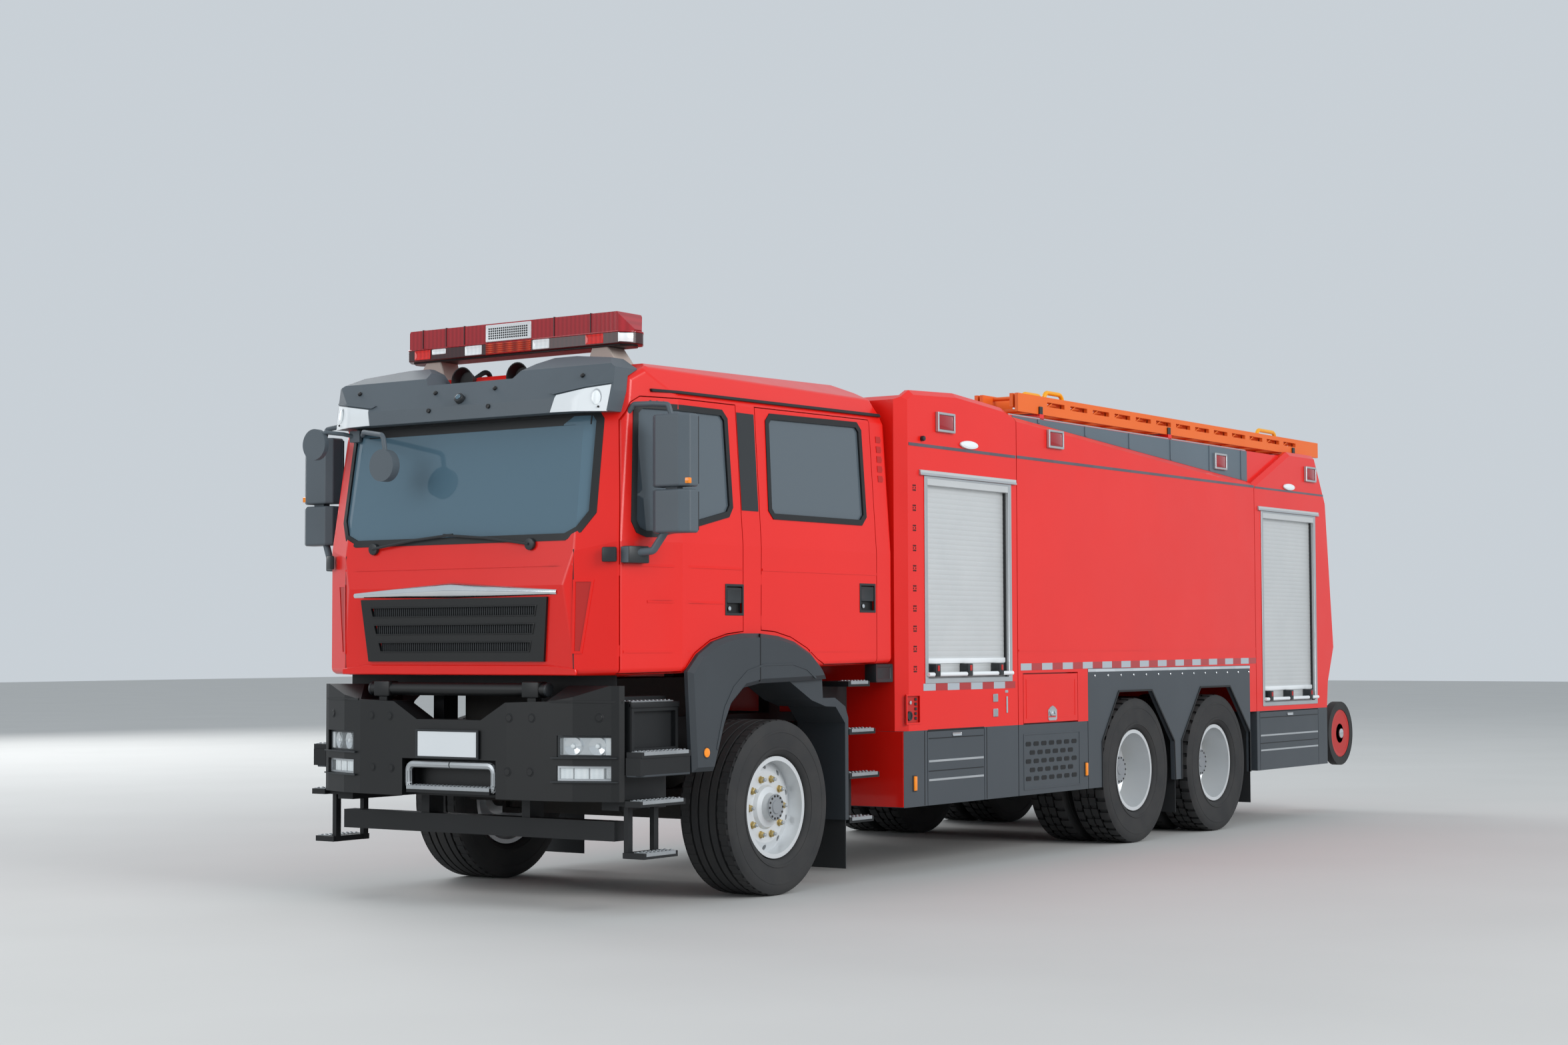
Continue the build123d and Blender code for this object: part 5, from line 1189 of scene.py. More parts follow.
for word, radius, rise, material in (("plugs", 19, 5, BUMPER_BLACK),
                                     ("plug_rings", 26, 2, FRAME_BLACK_AND_PAINTED_SHADE)):
    row = [plug_disc(y, z, radius, rise) for y, z in PLUGS]
    both(joined("bumper_%s_left" % word, row), material)
carrier = ring_from("plate_carrier", rect(-236, 236, 828, 990), rect(-222, 222, 838, 980), 1530, 1543,
                    "X", 2)
finished(carrier, HANDLE_BLACK)
plate = block("blank_number_plate", (1536.5, 1540), (-220, 220), (839, 979), 1)
finished(plate, WHITE_ENAMEL)
print("bumper done")

# %% [markdown]
# A headlamp is a chromed bowl with a bulb in its middle. The bowl is a disc whose front face is
# inset and pushed back, then the whole lamp is turned to lie along the bumper's slanted end.

# %% Headlamps and fog lamps
LAMP_FACE = [(765, 1484), (858, 1460), (1066, 1372)]


def lamp_x(y):
    """Front face of the lamp glasses at a distance from the middle."""
    (y0, x0), (y1, x1) = LAMP_FACE[:2] if y < LAMP_FACE[1][0] else LAMP_FACE[1:]
    return x0 + (x1 - x0) * (y - y0) / (y1 - y0)


def on_lamp(piece, set_back=0.0):
    return moved(piece, lambda c: Vector((c.x + (lamp_x(c.y * 1000) - set_back) / 1000, c.y, c.z)))


LAMP_TURN = 22.0
for number, (y, z, radius) in enumerate(((842, 911, 50), (972, 911, 50))):
    x = lamp_x(y) - 16
    bowl = disc("headlamp_bowl_%d_left" % number, (x - 8, y, z), radius, 22, "X", 28, 0)
    press(bowl, "x", (0.005, 0), (radius * 0.0006, -0.014))
    both(turned_about(bowl, (x, y, z), "Z", LAMP_TURN), CHROME, smooth=40)
    bulb = disc("headlamp_bulb_%d_left" % number, (x - 2, y, z), 12, 16, "X", 14, 4, 2)
    both(turned_about(bulb, (x, y, z), "Z", LAMP_TURN), WHITE_LENS)
for z0, z1, label in ((852, 970, "head"), (722, 806, "fog")):
    outline = dense(rect(768, 1063, z0 + 3, z1 - 3), 50)
    rim = ring_from(label + "_lamp_frame_left", spread(outline, 1), spread(outline, -9), -4, 4, "X")
    both(on_lamp(rim), RAIL_ALUMINIUM_AND_EDGE_HIGHLIGHT if label == "fog" else HANDLE_BLACK)
    back = sheet_from(label + "_lamp_back_left", outline, 0, 3, "X")
    both(on_lamp(back, 34), CHROME)
for number, (y0, y1) in enumerate(((778, 848), (858, 930), (940, 1010))):
    outline = dense(rect(y0, y1, 735, 794), 30)
    segment = sheet_from("fog_segment_%d_left" % number, outline, 0, 8, "X")
    both(on_lamp(segment, 14), WHITE_LENS)
indicator = sheet_from("turn_lamp_left", dense(rect(1022, 1056, 862, 960), 30), 0, 8, "X")
both(on_lamp(indicator, 14), WHITE_LENS)
print("lamps done, pieces", len(made))

# %% [markdown]
# The step below the bumper is a silver hoop with a punched tread, and the dark tube above the
# bumper links its two shoulders. A black sheet of painted shade closes the gap under the cab's floor
# behind it.

# %% Step tread and tube ends
plate = block("bumper_step_tread", (1450, 1534), (-312, 312), (650, 672), 1.5)
tooth = disc("bumper_step_tooth", (1470, -290, 673), 9, 8, "Z", 10, 1.5)
copies(tooth, [(row, 29 * i, 0) for row in (0, 44) for i in range(21) if i or row])
finished(joined("bumper_step_tread", [plate, tooth]), TREAD_ALUMINIUM)
for sign, label in SIDES:
    path = [(1500, sign * 4, 792), (1500, sign * 322, 792), (1500, sign * 322, 650),
            (1500, sign * 4, 650)]
    leg = tube("bumper_step_hoop_" + label, path, 20.5, 12, 38)
    finished(leg, RAIL_ALUMINIUM_AND_EDGE_HIGHLIGHT)
for sign, label in SIDES:
    clamp = block("front_tube_clamp_" + label, (1398, 1482), (sign * 560 - 60, sign * 560 + 60),
                  (1172, 1260), 8, 2)
    finished(clamp, BUMPER_BLACK)
for sign, label in SIDES:
    cap = disc("front_tube_end_" + label, (1440, sign * 660, 1216), 40, 16, "Y", 20, 5, 2)
    finished(cap, HANDLE_BLACK)
# Painted shade: a black sheet where the gap under the cab's floor is dark.
floor_gap_painted_shade = block("cab_apron", (1262, 1270), (-1000, 1000), (1182, 1296), 2)
finished(floor_gap_painted_shade, FRAME_BLACK_AND_PAINTED_SHADE)
print("front step done")

# %% [markdown]
# ## Visor, light bar and horns
# The visor carries two white marker lamps with an oval lens each, a little camera in its middle
# and a row of screws. Each lamp sits in a white trapezoid body below a thin dark shade.

# %% Visor fittings
VISOR_OUT = 105.0
MARKER = [(686, 2746), (1022, 2741), (1034, 2889), (714, 2842)]


def visor_patch(name, corners, low, high, cuts):
    """Four-cornered plate, (y, z) from its lower inner corner on, that follows the visor's bends."""
    clear_selection()
    bpy.ops.mesh.primitive_grid_add(x_subdivisions=cuts[0], y_subdivisions=cuts[1], size=2,
                                    location=(0, 0, 0))
    piece = bpy.context.object
    piece.name = piece.data.name = name
    a, b, c, d = (Vector(corner) for corner in corners)
    for vertex in piece.data.vertices:
        s, t = (vertex.co.x + 1) / 2, (vertex.co.y + 1) / 2
        y, z = a.lerp(b, s).lerp(d.lerp(c, s), t)
        vertex.co = at(front_x(y, z, VISOR_OUT) + low, y, z)
    return thickened(piece, "X", high - low)


def visor_disc(name, y, z, radius, thick, rise=0.0):
    """Round fitting on the visor, turned to lie square to it."""
    here = Vector((front_x(y, z, VISOR_OUT), y, z))
    along = Vector((front_x(y + 10, z, VISOR_OUT), y + 10, z)) - here
    up = Vector((front_x(y, z + 10, VISOR_OUT), y, z + 10)) - here
    turn = along.cross(up).to_track_quat("Z", "Y").to_matrix().to_4x4()
    piece = disc(name, (-AXLE_X, 0, 0), radius, thick, "Z", 22, 3, 2)
    piece.data.transform(Matrix.Translation(at(*here)) @ turn @ Matrix.Translation((0, 0, rise / 1000)))
    return piece


for side, label in SIDES:
    lamp = visor_patch("marker_body_" + label, [(side * y, z) for y, z in MARKER], -8, 5, (14, 6))
    finished(lamp, WHITE_ENAMEL)
    corners = [(side * y, z) for y, z in ((690, 2848), (1037, 2896), (1037, 2904), (660, 2862))]
    shade = visor_patch("marker_shade_" + label, corners, -4, 9, (14, 1))
    finished(shade, VISOR_BLACK)
    bezel = visor_disc("marker_bezel_" + label, side * 965, 2815, 31, 10, 1)
    stretched(bezel, (0, 0, 2.815), (1, 1, 1.7))
    finished(bezel, RAIL_ALUMINIUM_AND_EDGE_HIGHLIGHT)
    lens_piece = visor_disc("marker_lens_" + label, side * 965, 2815, 24, 16, 3)
    stretched(lens_piece, (0, 0, 2.815), (1, 1, 1.7))
    finished(lens_piece, WHITE_LENS)
eye = visor_disc("visor_camera_body", -5, 2860, 30, 40, 8)
finished(eye, HANDLE_BLACK)
eye = visor_disc("visor_camera_glass", -5, 2860, 17, 8, 29)
finished(eye, WINDOW_GLASS)
screws = []
for y, z in ((847, 2946), (-847, 2946), (226, 2912), (-226, 2912), (226, 2807), (-226, 2807),
             (980, 2765), (-980, 2765)):
    screws.append(visor_disc("visor_screw", y, z, 13 if z > 2780 else 6, 12, 6))
finished(joined("visor_screws", screws), BUMPER_BLACK)
print("visor fittings done")

# %% [markdown]
# The light bar is a long tray under crimson covers. In the middle a perforated speaker panel and
# an orange-red louvre face forward; lamp modules stand behind the covers.

# %% Light bar
BAR_PLAN = [(776, 806), (857, 866), (923, 866), (1004, 806), (1004, -806), (923, -866), (857, -866),
            (776, -806)]
tray = sheet_from("light_bar_tray", spread(BAR_PLAN, -30), 3158, 3172, "Z", 3)
finished(tray, BUMPER_BLACK)
# The lower half's near-black red is painted shade.
lower = sheet_from("light_bar_lower", BAR_PLAN, 3168, 3238, "Z", 5)
finished(lower, DEEP_LENS_AND_PAINTED_SHADE)
ledge = sheet_from("light_bar_ledge", spread(BAR_PLAN, 3), 3234, 3242, "Z", 3)
finished(ledge, RED_LENS)
panel = block("speaker_panel", (998, 1010), (-188, 158), (3244, 3344), 3)
press(panel, "x", (0.008, -0.003))
finished(panel, WHITE_ENAMEL)
# Black discs of painted shade mark the speaker's holes.
hole = disc("speaker_holes", (1008, -160, 3264), 5, 4, "X", 8, 0)
copies(hole, [(0, 16 * i, 14 * j) for i in range(19) for j in range(5) if i or j])
finished(hole, FRAME_BLACK_AND_PAINTED_SHADE, smooth=0)
louvre = block("siren_louvre", (1002, 1011), (-188, 158), (3176, 3185), 2)
copies(louvre, [(0, 0, 12 * i) for i in range(1, 5)])
finished(louvre, GRILLE_ORANGE)
back = block("siren_louvre_back", (1001, 1005), (-188, 158), (3172, 3242), 1)
finished(back, BRIGHT_RED_LENS)
MODULES = [(-755, -629, BRIGHT_RED_LENS), (-615, -505, WHITE_LENS), (-352, -221, WHITE_LENS),
           (172, 296, WHITE_LENS), (566, 694, BRIGHT_RED_LENS)]
for number, (y0, y1, finish) in enumerate(MODULES):
    foot = 3200 if number == 1 else 3176
    case = block("lamp_module_%d" % number, (1000, 1009), (y0, y1), (foot, 3232), 5, 2)
    press(case, "x", (0.01, -0.004))
    finished(case, finish)
case = block("lamp_module_end", (962, 972), (782, 874), (3176, 3232), 5, 2)
finished(turned_about(case, (967, 828, 3204), "Z", 53), WHITE_LENS)
for y in (-690, -505, -361, 330, 600):
    seam_piece = ring_from("cover_seam_%d" % (y + 1000), rect(776, 1004, 3240, 3355),
                           rect(784, 996, 3244, 3349), y - 3, y + 3)
    finished(seam_piece, DEEP_LENS_AND_PAINTED_SHADE)
for sign, label in SIDES:
    corners = [(sign * 586, 3176), (sign * 684, 3176), (sign * 775, 3058), (sign * 775, 3040),
               (sign * 545, 3040), (sign * 545, 3058)]
    foot = sheet_from("light_bar_foot_" + label, corners, 812, 968, "X", 5)
    finished(foot, FOOT_BEIGE)
print("light bar done, pieces", len(made))

# %% [markdown]
# Two black air horns lie on the cab's roof behind the visor. A bell is a short cylinder whose back
# is drawn narrow and whose mouth is inset, so it flares like the real spun one.

# %% Air horns
for y, z in ((-222, 3002), (200, 3002)):
    bell = disc("air_horn_bell_%d" % (y + 1000), (1130, y, z), 84, 90, "X", 28, 0)
    edit(bell)
    select_faces(bell, lambda c, n: n.x < -0.9)
    bpy.ops.transform.resize(value=(1, 0.45, 0.45), center_override=tuple(at(1085, y, z)))
    bpy.ops.mesh.select_all(action="DESELECT")
    select_faces(bell, lambda c, n: n.x > 0.9)
    bpy.ops.mesh.inset(thickness=0.006, depth=0)
    bpy.ops.mesh.inset(thickness=0.02, depth=-0.05)
    close_edit()
    finished(bell, FRAME_BLACK_AND_PAINTED_SHADE, smooth=45)
    path = [(1090, y, z + 8), (980, y, z + 70), (940, y, z + 70), (920, y, z + 30)]
    throat = tube("air_horn_pipe_%d" % (y + 1000), path, 15, 12, 20)
    finished(throat, FRAME_BLACK_AND_PAINTED_SHADE)
print("horns done")

# %% [markdown]
# ## Body sides
# A roller curtain is a stack of slats, each a shallow arch 33 mm high. Its section is drawn once
# as a stepped outline and drawn out along the opening. The lift bar carries three clips. The
# body's side wall stands 1250 mm from the middle, and flat fittings start just inside it.

# %% Roller curtains
SUNK_Y = 1249.6
SHUTTER_PLACES = [("front", -2693, -1572, 1214, 2530), ("rear", -7968, -6842, 955, 2535)]
SLAT = 33.0
for name, x0, x1, z0, z1 in SHUTTER_PLACES:
    count = int((z1 - z0 - 115) / SLAT)
    section = []
    for i in range(count):
        z = z0 + 70 + i * SLAT
        section += [(1214, z), (1214.5, z + 4), (1215.2, z + 11), (1215.2, z + 23), (1214.5, z + 30)]
    section += [(1214, z0 + 70 + count * SLAT), (1211, z0 + 70 + count * SLAT), (1211, z0 + 70)]
    curtain = sheet_from("curtain_slats_%s_left" % name, section, x0 + 35, x1 - 35, "X")
    both(curtain, SHUTTER_ALUMINIUM, smooth=0)
    middle = (x0 + x1) / 2
    bar = disc("curtain_lift_bar_%s_left" % name, (middle, 1266, z0 + 55), 14, x1 - x0 - 30, "X", 18, 3)
    both(bar, WHITE_ENAMEL)
    end_slat = block("curtain_end_slat_%s_left" % name, (x0 + 36, x1 - 36), (1213, 1226),
                     (z0 + 124, z0 + 158), 4, 2)
    both(end_slat, WHITE_ENAMEL)
    foot = block("curtain_foot_%s_left" % name, (x0 + 36, x1 - 36), (1212, 1226), (z0 + 2, z0 + 40), 2)
    both(foot, SHUTTER_ALUMINIUM)
    for sign in (-1, 0, 1):
        x = middle + 40 + sign * (x1 - x0) * 0.366
        clip = block("lift_clip_%s_%d_left" % (name, sign + 2), (x - 30, x + 30), (1214, 1284),
                     (z0 + 42, z0 + 122), 5, 2)
        both(clip, HANDLE_BLACK)
        tab = block("lift_tab_%s_%d_left" % (name, sign + 2), (x - 12, x + 12), (1283, 1288),
                    (z0 + 76, z0 + 112), 2)
        both(tab, REEL_RED_AND_RECESS_SHADE)
    for x, label in ((x0 + 36, "aft"), (x1 - 44, "fore")):
        seal = block("curtain_seal_%s_%s_left" % (name, label), (x, x + 8), (1213, 1232),
                     (z0 + 4, z1 - 50), 2)
        both(seal, SEAL_RUBBER_AND_VISOR_SHADOW)
    outer = rect(x0 - 4, x1 + 2, z0 - 2, z1 + 12)
    inner = rect(x0 + 40, x1 - 36, z0 + 30, z1 - 4)
    frame_piece = ring_from("shutter_frame_%s_left" % name, outer, inner, 1250.5, 1256, bevel=2)
    both(frame_piece, RAIL_ALUMINIUM_AND_EDGE_HIGHLIGHT)
    corners = [(1250, z1 + 14), (1268, z1 + 12), (1268, z1 + 18), (1258, z1 + 46), (1250, z1 + 48)]
    hood = sheet_from("rain_rail_%s_left" % name, corners, x0 - 62, x1 + 62, "X", 1)
    both(hood, RAIL_ALUMINIUM_AND_EDGE_HIGHLIGHT)
print("curtains done, pieces", len(made))

# %% [markdown]
# Bands of reflective tape run along both sides: squares of grey and dark red below the shutter and
# at waist height. A thin dark line runs above the shutters from end to end.

# %% Tapes and side lines
def side_sheet(name, points, thick, material, y=1250.3):
    piece = sheet_from(name + "_left", points, y, y + thick)
    both(piece, material)


side_sheet("tape_front", rect(-2739, -1548, 1166, 1211), 1.5, SHUTTER_TAPE)
side_sheet("tape_middle", [(-6712, 1302), (-2817, 1283), (-2817, 1330), (-6712, 1348)], 1.5, WAIST_TAPE)
side_sheet("line_dark_front", rect(-2768, -1385, 2724, 2744), 1.5, DARK_TAPE)
side_sheet("crease_middle", rect(-6710, -2790, 1412, 1424), 3, FIRE_RED)
side_sheet("line_dark_middle", rect(-6712, -2784, 2726, 2746), 1.5, DARK_TAPE)
side_sheet("line_dark_rear", rect(-8160, -6730, 2724, 2740), 1.5, DARK_TAPE)
corners = [(-6712, 2780), (-2830, 3014), (-2830, 3027), (-6712, 3027)]
recess = sheet_from("upper_side_panel_left", corners, 1190.3, 1193)
both(recess, PANEL_BLUE)
rails = []
for x in (-3200, -3900, -4600, -5300, -6000, -6600):
    foot = 2785 + (x + 6712) * 0.0603
    rails.append(block("panel_post", (x - 14, x + 14), (1190.5, 1200), (foot, 3027), 2))
both(joined("upper_side_posts_left", rails), PANEL_BLUE)
print("tapes and lines done")

# %% [markdown]
# Small fittings of the side: red marker lamps in pale raised frames below the roof, white oval work
# lamps, amber markers along the skirt, and groups of small drain holes by the front edge, their black
# discs painted shade.

# %% Side lamps and holes
for number, (x, y, z) in enumerate(((-1826, 1250, 2898), (-3320, 1250, 2890), (-6175, 1193, 2910),
                                    (-7862, 1250, 2898))):
    outline = rect(x - 92, x + 92, z - 47, z + 47)
    rim = ring_from("marker_frame_%d_left" % number, spread(outline, 17), spread(outline, 1), y + 0.2,
                    y + 24, bevel=3)
    both(rim, RAIL_ALUMINIUM_AND_EDGE_HIGHLIGHT)
    lens_piece = block("marker_red_%d_left" % number, (x - 92, x + 92), (y + 0.2, y + 19),
                       (z - 47, z + 47), 4, 2)
    both(lens_piece, RED_LENS)
for number, (x, z) in enumerate(((-2132, 2773), (-7412, 2768))):
    lamp = disc("work_lamp_body_%d_left" % number, (x, 1258, z), 27, 20, "Y", 28, 5, 2)
    stretched(lamp, (at(x, 0, 0).x, 0, 0), (4.2, 1, 1))
    both(lamp, WHITE_ENAMEL)
    lens_piece = disc("work_lamp_lens_%d_left" % number, (x, 1267, z), 19, 8, "Y", 28, 3, 2)
    stretched(lens_piece, (at(x, 0, 0).x, 0, 0), (4.8, 1, 1))
    both(lens_piece, WHITE_LENS)
eye = disc("side_camera_left", (-1543, 1262, 2777), 17, 26, "Y", 20, 5, 2)
both(eye, HANDLE_BLACK)
for number, (x, z) in enumerate(((-1435, 584), (-3751, 576))):
    marker = block("amber_marker_%d_left" % number, (x - 17, x + 17), (1250, 1264), (z - 46, z + 46), 6,
                   2)
    both(marker, AMBER_LENS)
    base = block("amber_marker_base_%d_left" % number, (x - 24, x + 24), (1249, 1255), (z - 52, z + 52),
                 3)
    both(base, HANDLE_BLACK)
# Black discs of painted shade stand for the drain holes.
drop = disc("drain_holes_left", (-1452, 1250, 1290), 6, 2.4, "Y", 8, 0)
shifts = [(14 * (i - 1), 0, 15 * row) for row, cells in ((0, (0, 1, 2)), (1, (0, 2)), (2, (0, 1, 2)))
          for i in cells]
copies(drop, [(dx, 0, dz + 128 * group) for group in range(10) for dx, _, dz in shifts if group or dx
              or dz])
both(drop, FRAME_BLACK_AND_PAINTED_SHADE, smooth=0)
print("side lamps done, pieces", len(made))

# %% [markdown]
# In front sits a control panel: a recessed plate with a round socket, a row of switches and a
# gauge strip beside the shutter. Only plain shapes mark its switches.

# %% Control panel, hinges and gauge strip
rim = ring_from("control_rim_left", rect(-1514, -1340, 955, 1147), rect(-1502, -1352, 967, 1135), 1246,
                1254, bevel=2)
finished(rim, FIRE_RED)
plate = block("control_plate", (-1503, -1351), (1234.5, 1238), (966, 1136), 1)
finished(plate, REEL_RED_AND_RECESS_SHADE)
socket = disc("control_socket", (-1392, 1243, 1010), 30, 14, "Y", 24, 4, 2)
press(socket, "y", (0.008, -0.005))
finished(socket, HANDLE_BLACK)
switch = block("control_switches", (-1480, -1458), (1237, 1246), (985, 1003), 3)
copies(switch, [(0, 0, 30 * i) for i in range(1, 5)])
finished(switch, HANDLE_BLACK)
knob = disc("control_knob", (-1400, 1242, 1094), 13, 14, "Y", 18, 3, 2)
finished(knob, CHROME)
strip = block("gauge_strip_left", (-2632, -2614), (1250, 1256), (1000, 1113), 3)
blank = block("gauge_blank_plate", (-2640, -2600), (1250, 1253), (1136, 1154), 2)
both(joined("gauge_strip_left", [strip, blank]), RAIL_ALUMINIUM_AND_EDGE_HIGHLIGHT)
hinges = [block("small_hinge", (-2498, -2434), (1249, 1257), (z - 27, z + 27), 3) for z in (1104, 1005)]
both(joined("side_hinges_left", hinges), CHROME)
print("control panel done")

# %% [markdown]
# The box door carries a pressed groove and a chromed latch with a D-shaped grip. The fold-down
# panels below have two pale lines of painted highlight along their folded edges, two black lines of
# painted shade in their grooves, a black strip of painted shade in the gap above, and a silver pull
# in the middle of the top edge. The grey panel between them is punched with rounded slots, drawn as
# black pieces of painted shade.

# %% Box door and grey panels
groove = ring_from("box_door_groove_left", rect(-3600, -2891, 955, 1222), rect(-3592, -2899, 963, 1214),
                   SUNK_Y, 1252, bevel=0)
both(groove, FIRE_RED, "box_door_SIDE")
corners = [(-3320, 944), (-3308, 934), (-3210, 934), (-3198, 944), (-3198, 1006), (-3228, 1026),
           (-3259, 1036), (-3290, 1026), (-3320, 1006)]
latch = sheet_from("box_latch_plate_left", corners, 1249, 1255)
press(latch, "y", (0.012, -0.004))
both(latch, RAIL_ALUMINIUM_AND_EDGE_HIGHLIGHT, "box_door_SIDE")
path = [(-3292, 1252, 1000), (-3292, 1264, 972), (-3226, 1264, 972), (-3226, 1252, 1000)]
grip = tube("box_latch_grip_left", path, 6, 10, 12)
both(grip, CHROME, "box_door_SIDE")
PANELS = [("front", -2315, -1600), ("rear", -7985, -6780)]
for name, x0, x1 in PANELS:
    body = "fold_step_%s_SIDE" % name
    # Pale lines are painted highlight on the folded edges; black lines are painted shade in the
    # grooves.
    for z, thick, label in ((861, 5, "top"), (716, 14, "middle"), (653, 5, "lower"), (596, 14, "foot")):
        line = block("fold_line_%s_%s_left" % (name, label), (x0 + 10, x1 - 10), (SUNK_Y, 1253),
                     (z - thick / 2, z + thick / 2), 1)
        both(line, RAIL_ALUMINIUM_AND_EDGE_HIGHLIGHT if label in ("middle", "foot") else FRAME_BLACK_AND_PAINTED_SHADE, body)
    x = (x0 + x1) / 2
    latch = block("fold_latch_%s_left" % name, (x - 56, x + 56), (1249, 1260), (868, 892), 5, 2)
    press(latch, "y", (0.006, -0.004))
    both(latch, CHROME, body)
SLOT = [(-37, -7), (-29, -15), (29, -15), (37, -7), (37, 7), (29, 15), (-29, 15), (-37, 7)]
# Black pieces of painted shade stand for the punched slots.
slot = sheet_from("vent_slots_left", [(-3576 + x, 545 + z) for x, z in SLOT], SUNK_Y, 1251.5)
shifts = [(110 * i + 55 * (row % 2), row) for row in range(5) for i in range(7 - row % 2)]
copies(slot, [(dx, 0, 59 * row) for dx, row in shifts if dx or row])
both(slot, FRAME_BLACK_AND_PAINTED_SHADE, smooth=0)
rim = ring_from("vent_panel_rim_left", rect(-3664, -2850, 470, 852), rect(-3654, -2860, 480, 842),
                SUNK_Y, 1253, bevel=1)
both(rim, SKIRT_GREY)
seams = [block("skirt_seam", (x - 4, x + 4), (1249.4, 1250.8), (440, 912), 0) for x in (-1560, -2350)]
both(joined("skirt_seams_left", seams), FRAME_BLACK_AND_PAINTED_SHADE, smooth=0)
# A black strip of painted shade in the gap above the fold-down panel.
gap = block("fold_gap_left", (-2315, -1600), (SUNK_Y, 1251), (907, 918), 0)
both(gap, FRAME_BLACK_AND_PAINTED_SHADE, smooth=0)
wall = block("front_wall_low_left", (-1308.4, -1304), (564, 1248), (440, 913), 1)
both(wall, FIRE_RED)
print("panels done, pieces", len(made))

# %% [markdown]
# The arch panels over the driven wheels have a rubber edge along each opening, a pale band of painted
# highlight where the light catches their bevelled top, and a row of silver studs.

# %% Arch edges and studs
ARCHES = [[(-4010, 436), (-4010, 760), (-4274, 1112), (-4806, 1112), (-5177, 727), (-5195, 436)],
          [(-5320, 436), (-5320, 727), (-5660, 1120), (-6194, 1120), (-6571, 750), (-6571, 436)]]
EDGE_SHIFTS = ((13, 0), (13, 6), (6, 13), (-6, 13), (-13, 6), (-13, 0))
for number, outline in enumerate(ARCHES):
    outer = [(x + dx, z + dz) for (x, z), (dx, dz) in zip(outline, EDGE_SHIFTS)]
    edge = sheet_from("arch_edge_%d_left" % number, outer + outline[::-1], 1240, 1256)
    both(edge, FLAP_RUBBER)
# A pale strip of painted highlight, where light catches the arch panels' bevelled top.
band = block("arch_top_band_left", (-6586, -3795), (SUNK_Y, 1254), (1262, 1284), 2)
both(band, ARCH_PAINTED_HIGHLIGHT)
stud = disc("arch_studs_left", (-3900, 1252, 1235), 9, 8, "Y", 14, 2)
copies(stud, [(-205 * i, 0, 0) for i in range(1, 14)])
both(stud, CHROME)
print("arches done, pieces", len(made))

# %% [markdown]
# ## Rear wall, roof and cabin
# The back of the truck is out of sight in the photograph, so it follows the type: a slatted
# shutter in the leaning wall, lamp clusters at both sides and a red lamp high at each corner.

# %% Rear shutter slats and lamps
TOP, FOOT = Vector((-8192, 2738)), Vector((-8347, 1431))


def wall_x(z):
    """Leaning back wall's face at a height."""
    return TOP.x + (FOOT.x - TOP.x) * (TOP.y - z) / (TOP.y - FOOT.y)


SLAT_COUNT, SLAT_PITCH, CURTAIN_FOOT = 33, 34, 1500
CURTAIN_TOP = CURTAIN_FOOT + SLAT_PITCH * SLAT_COUNT
section = []
for i in range(SLAT_COUNT):
    z = CURTAIN_FOOT + i * SLAT_PITCH
    section += [(wall_x(z) + 36, z), (wall_x(z) + 32, z + 8), (wall_x(z) + 31, z + 24),
                (wall_x(z) + 35, z + 31)]
section += [(wall_x(CURTAIN_TOP) + 36, CURTAIN_TOP), (wall_x(CURTAIN_TOP) + 39, CURTAIN_TOP),
            (wall_x(CURTAIN_FOOT) + 39, CURTAIN_FOOT)]
rear_curtain = sheet_from("curtain_slats_rear_wall", section, -1042, 212, "Y")
finished(rear_curtain, SHUTTER_ALUMINIUM, smooth=0)
for sign, label in SIDES:
    for number, (z, finish) in enumerate(((1010, BRIGHT_RED_LENS), (1090, AMBER_LENS),
                                          (1170, WHITE_LENS))):
        y = sign * 1190
        x = -8186 - max(0, z - 915) * 27 / 219 - 2
        lamp = disc("rear_lamp_%s_%d" % (label, number), (x - 6, y, z), 34, 18, "X", 26, 5, 2)
        finished(lamp, finish)
        ring = disc("rear_lamp_ring_%s_%d" % (label, number), (x - 1, y, z), 40, 12, "X", 26, 2)
        finished(ring, HANDLE_BLACK)
for sign, label in SIDES:
    x = wall_x(2640) - 6
    lamp = block("rear_high_lamp_" + label, (x - 14, x + 10), (sign * 1180 - 40, sign * 1180 + 40),
                 (2600, 2680), 6, 2)
    finished(lamp, BRIGHT_RED_LENS)
print("rear wall done")

# %% [markdown]
# The hose cart's wheels are red pressed discs with a silver cap and a rim bead. White brackets
# hold the cart. The photograph shows no hose, so the reel between the wheels stays bare.

# %% Hose cart
for number, y in enumerate((1170, 260)):
    out = 1 if number == 0 else -1
    bead = disc("cart_wheel_rim_%d" % number, (-8600, y + out * 24, 680), 204, 10, "Y", 48, 0)
    edit(bead)
    select_faces(bead, lambda c, n: n.y * out > 0.9)
    bpy.ops.mesh.inset(thickness=0.02, depth=0)
    bpy.ops.mesh.inset(thickness=0.03, depth=-0.012)
    bpy.ops.mesh.inset(thickness=0.07, depth=0.008)
    close_edit()
    finished(bead, REEL_RED_AND_RECESS_SHADE, "cart_reel", smooth=35)
    cap = disc("cart_hub_cap_%d" % number, (-8600, y + out * 32, 680), 42, 26, "Y", 28, 7, 2)
    finished(cap, CHROME, "cart_reel")
leg = block("cart_leg", (-8320, -8290), (1125, 1140), (430, 900), 4)
finished(leg, WHITE_ENAMEL)
path = [(-8210, 1132, 860), (-8420, 1132, 980), (-8420, 330, 980), (-8210, 330, 860)]
handle = tube("cart_handle", path, 14, 12, 50)
finished(handle, WHITE_ENAMEL)
print("hose cart done")

# %% [markdown]
# The roof ladder rests in dark brackets above an aluminium strip. Its beams and rungs are CAD
# solids; slim slanted braces on the beams are added here.

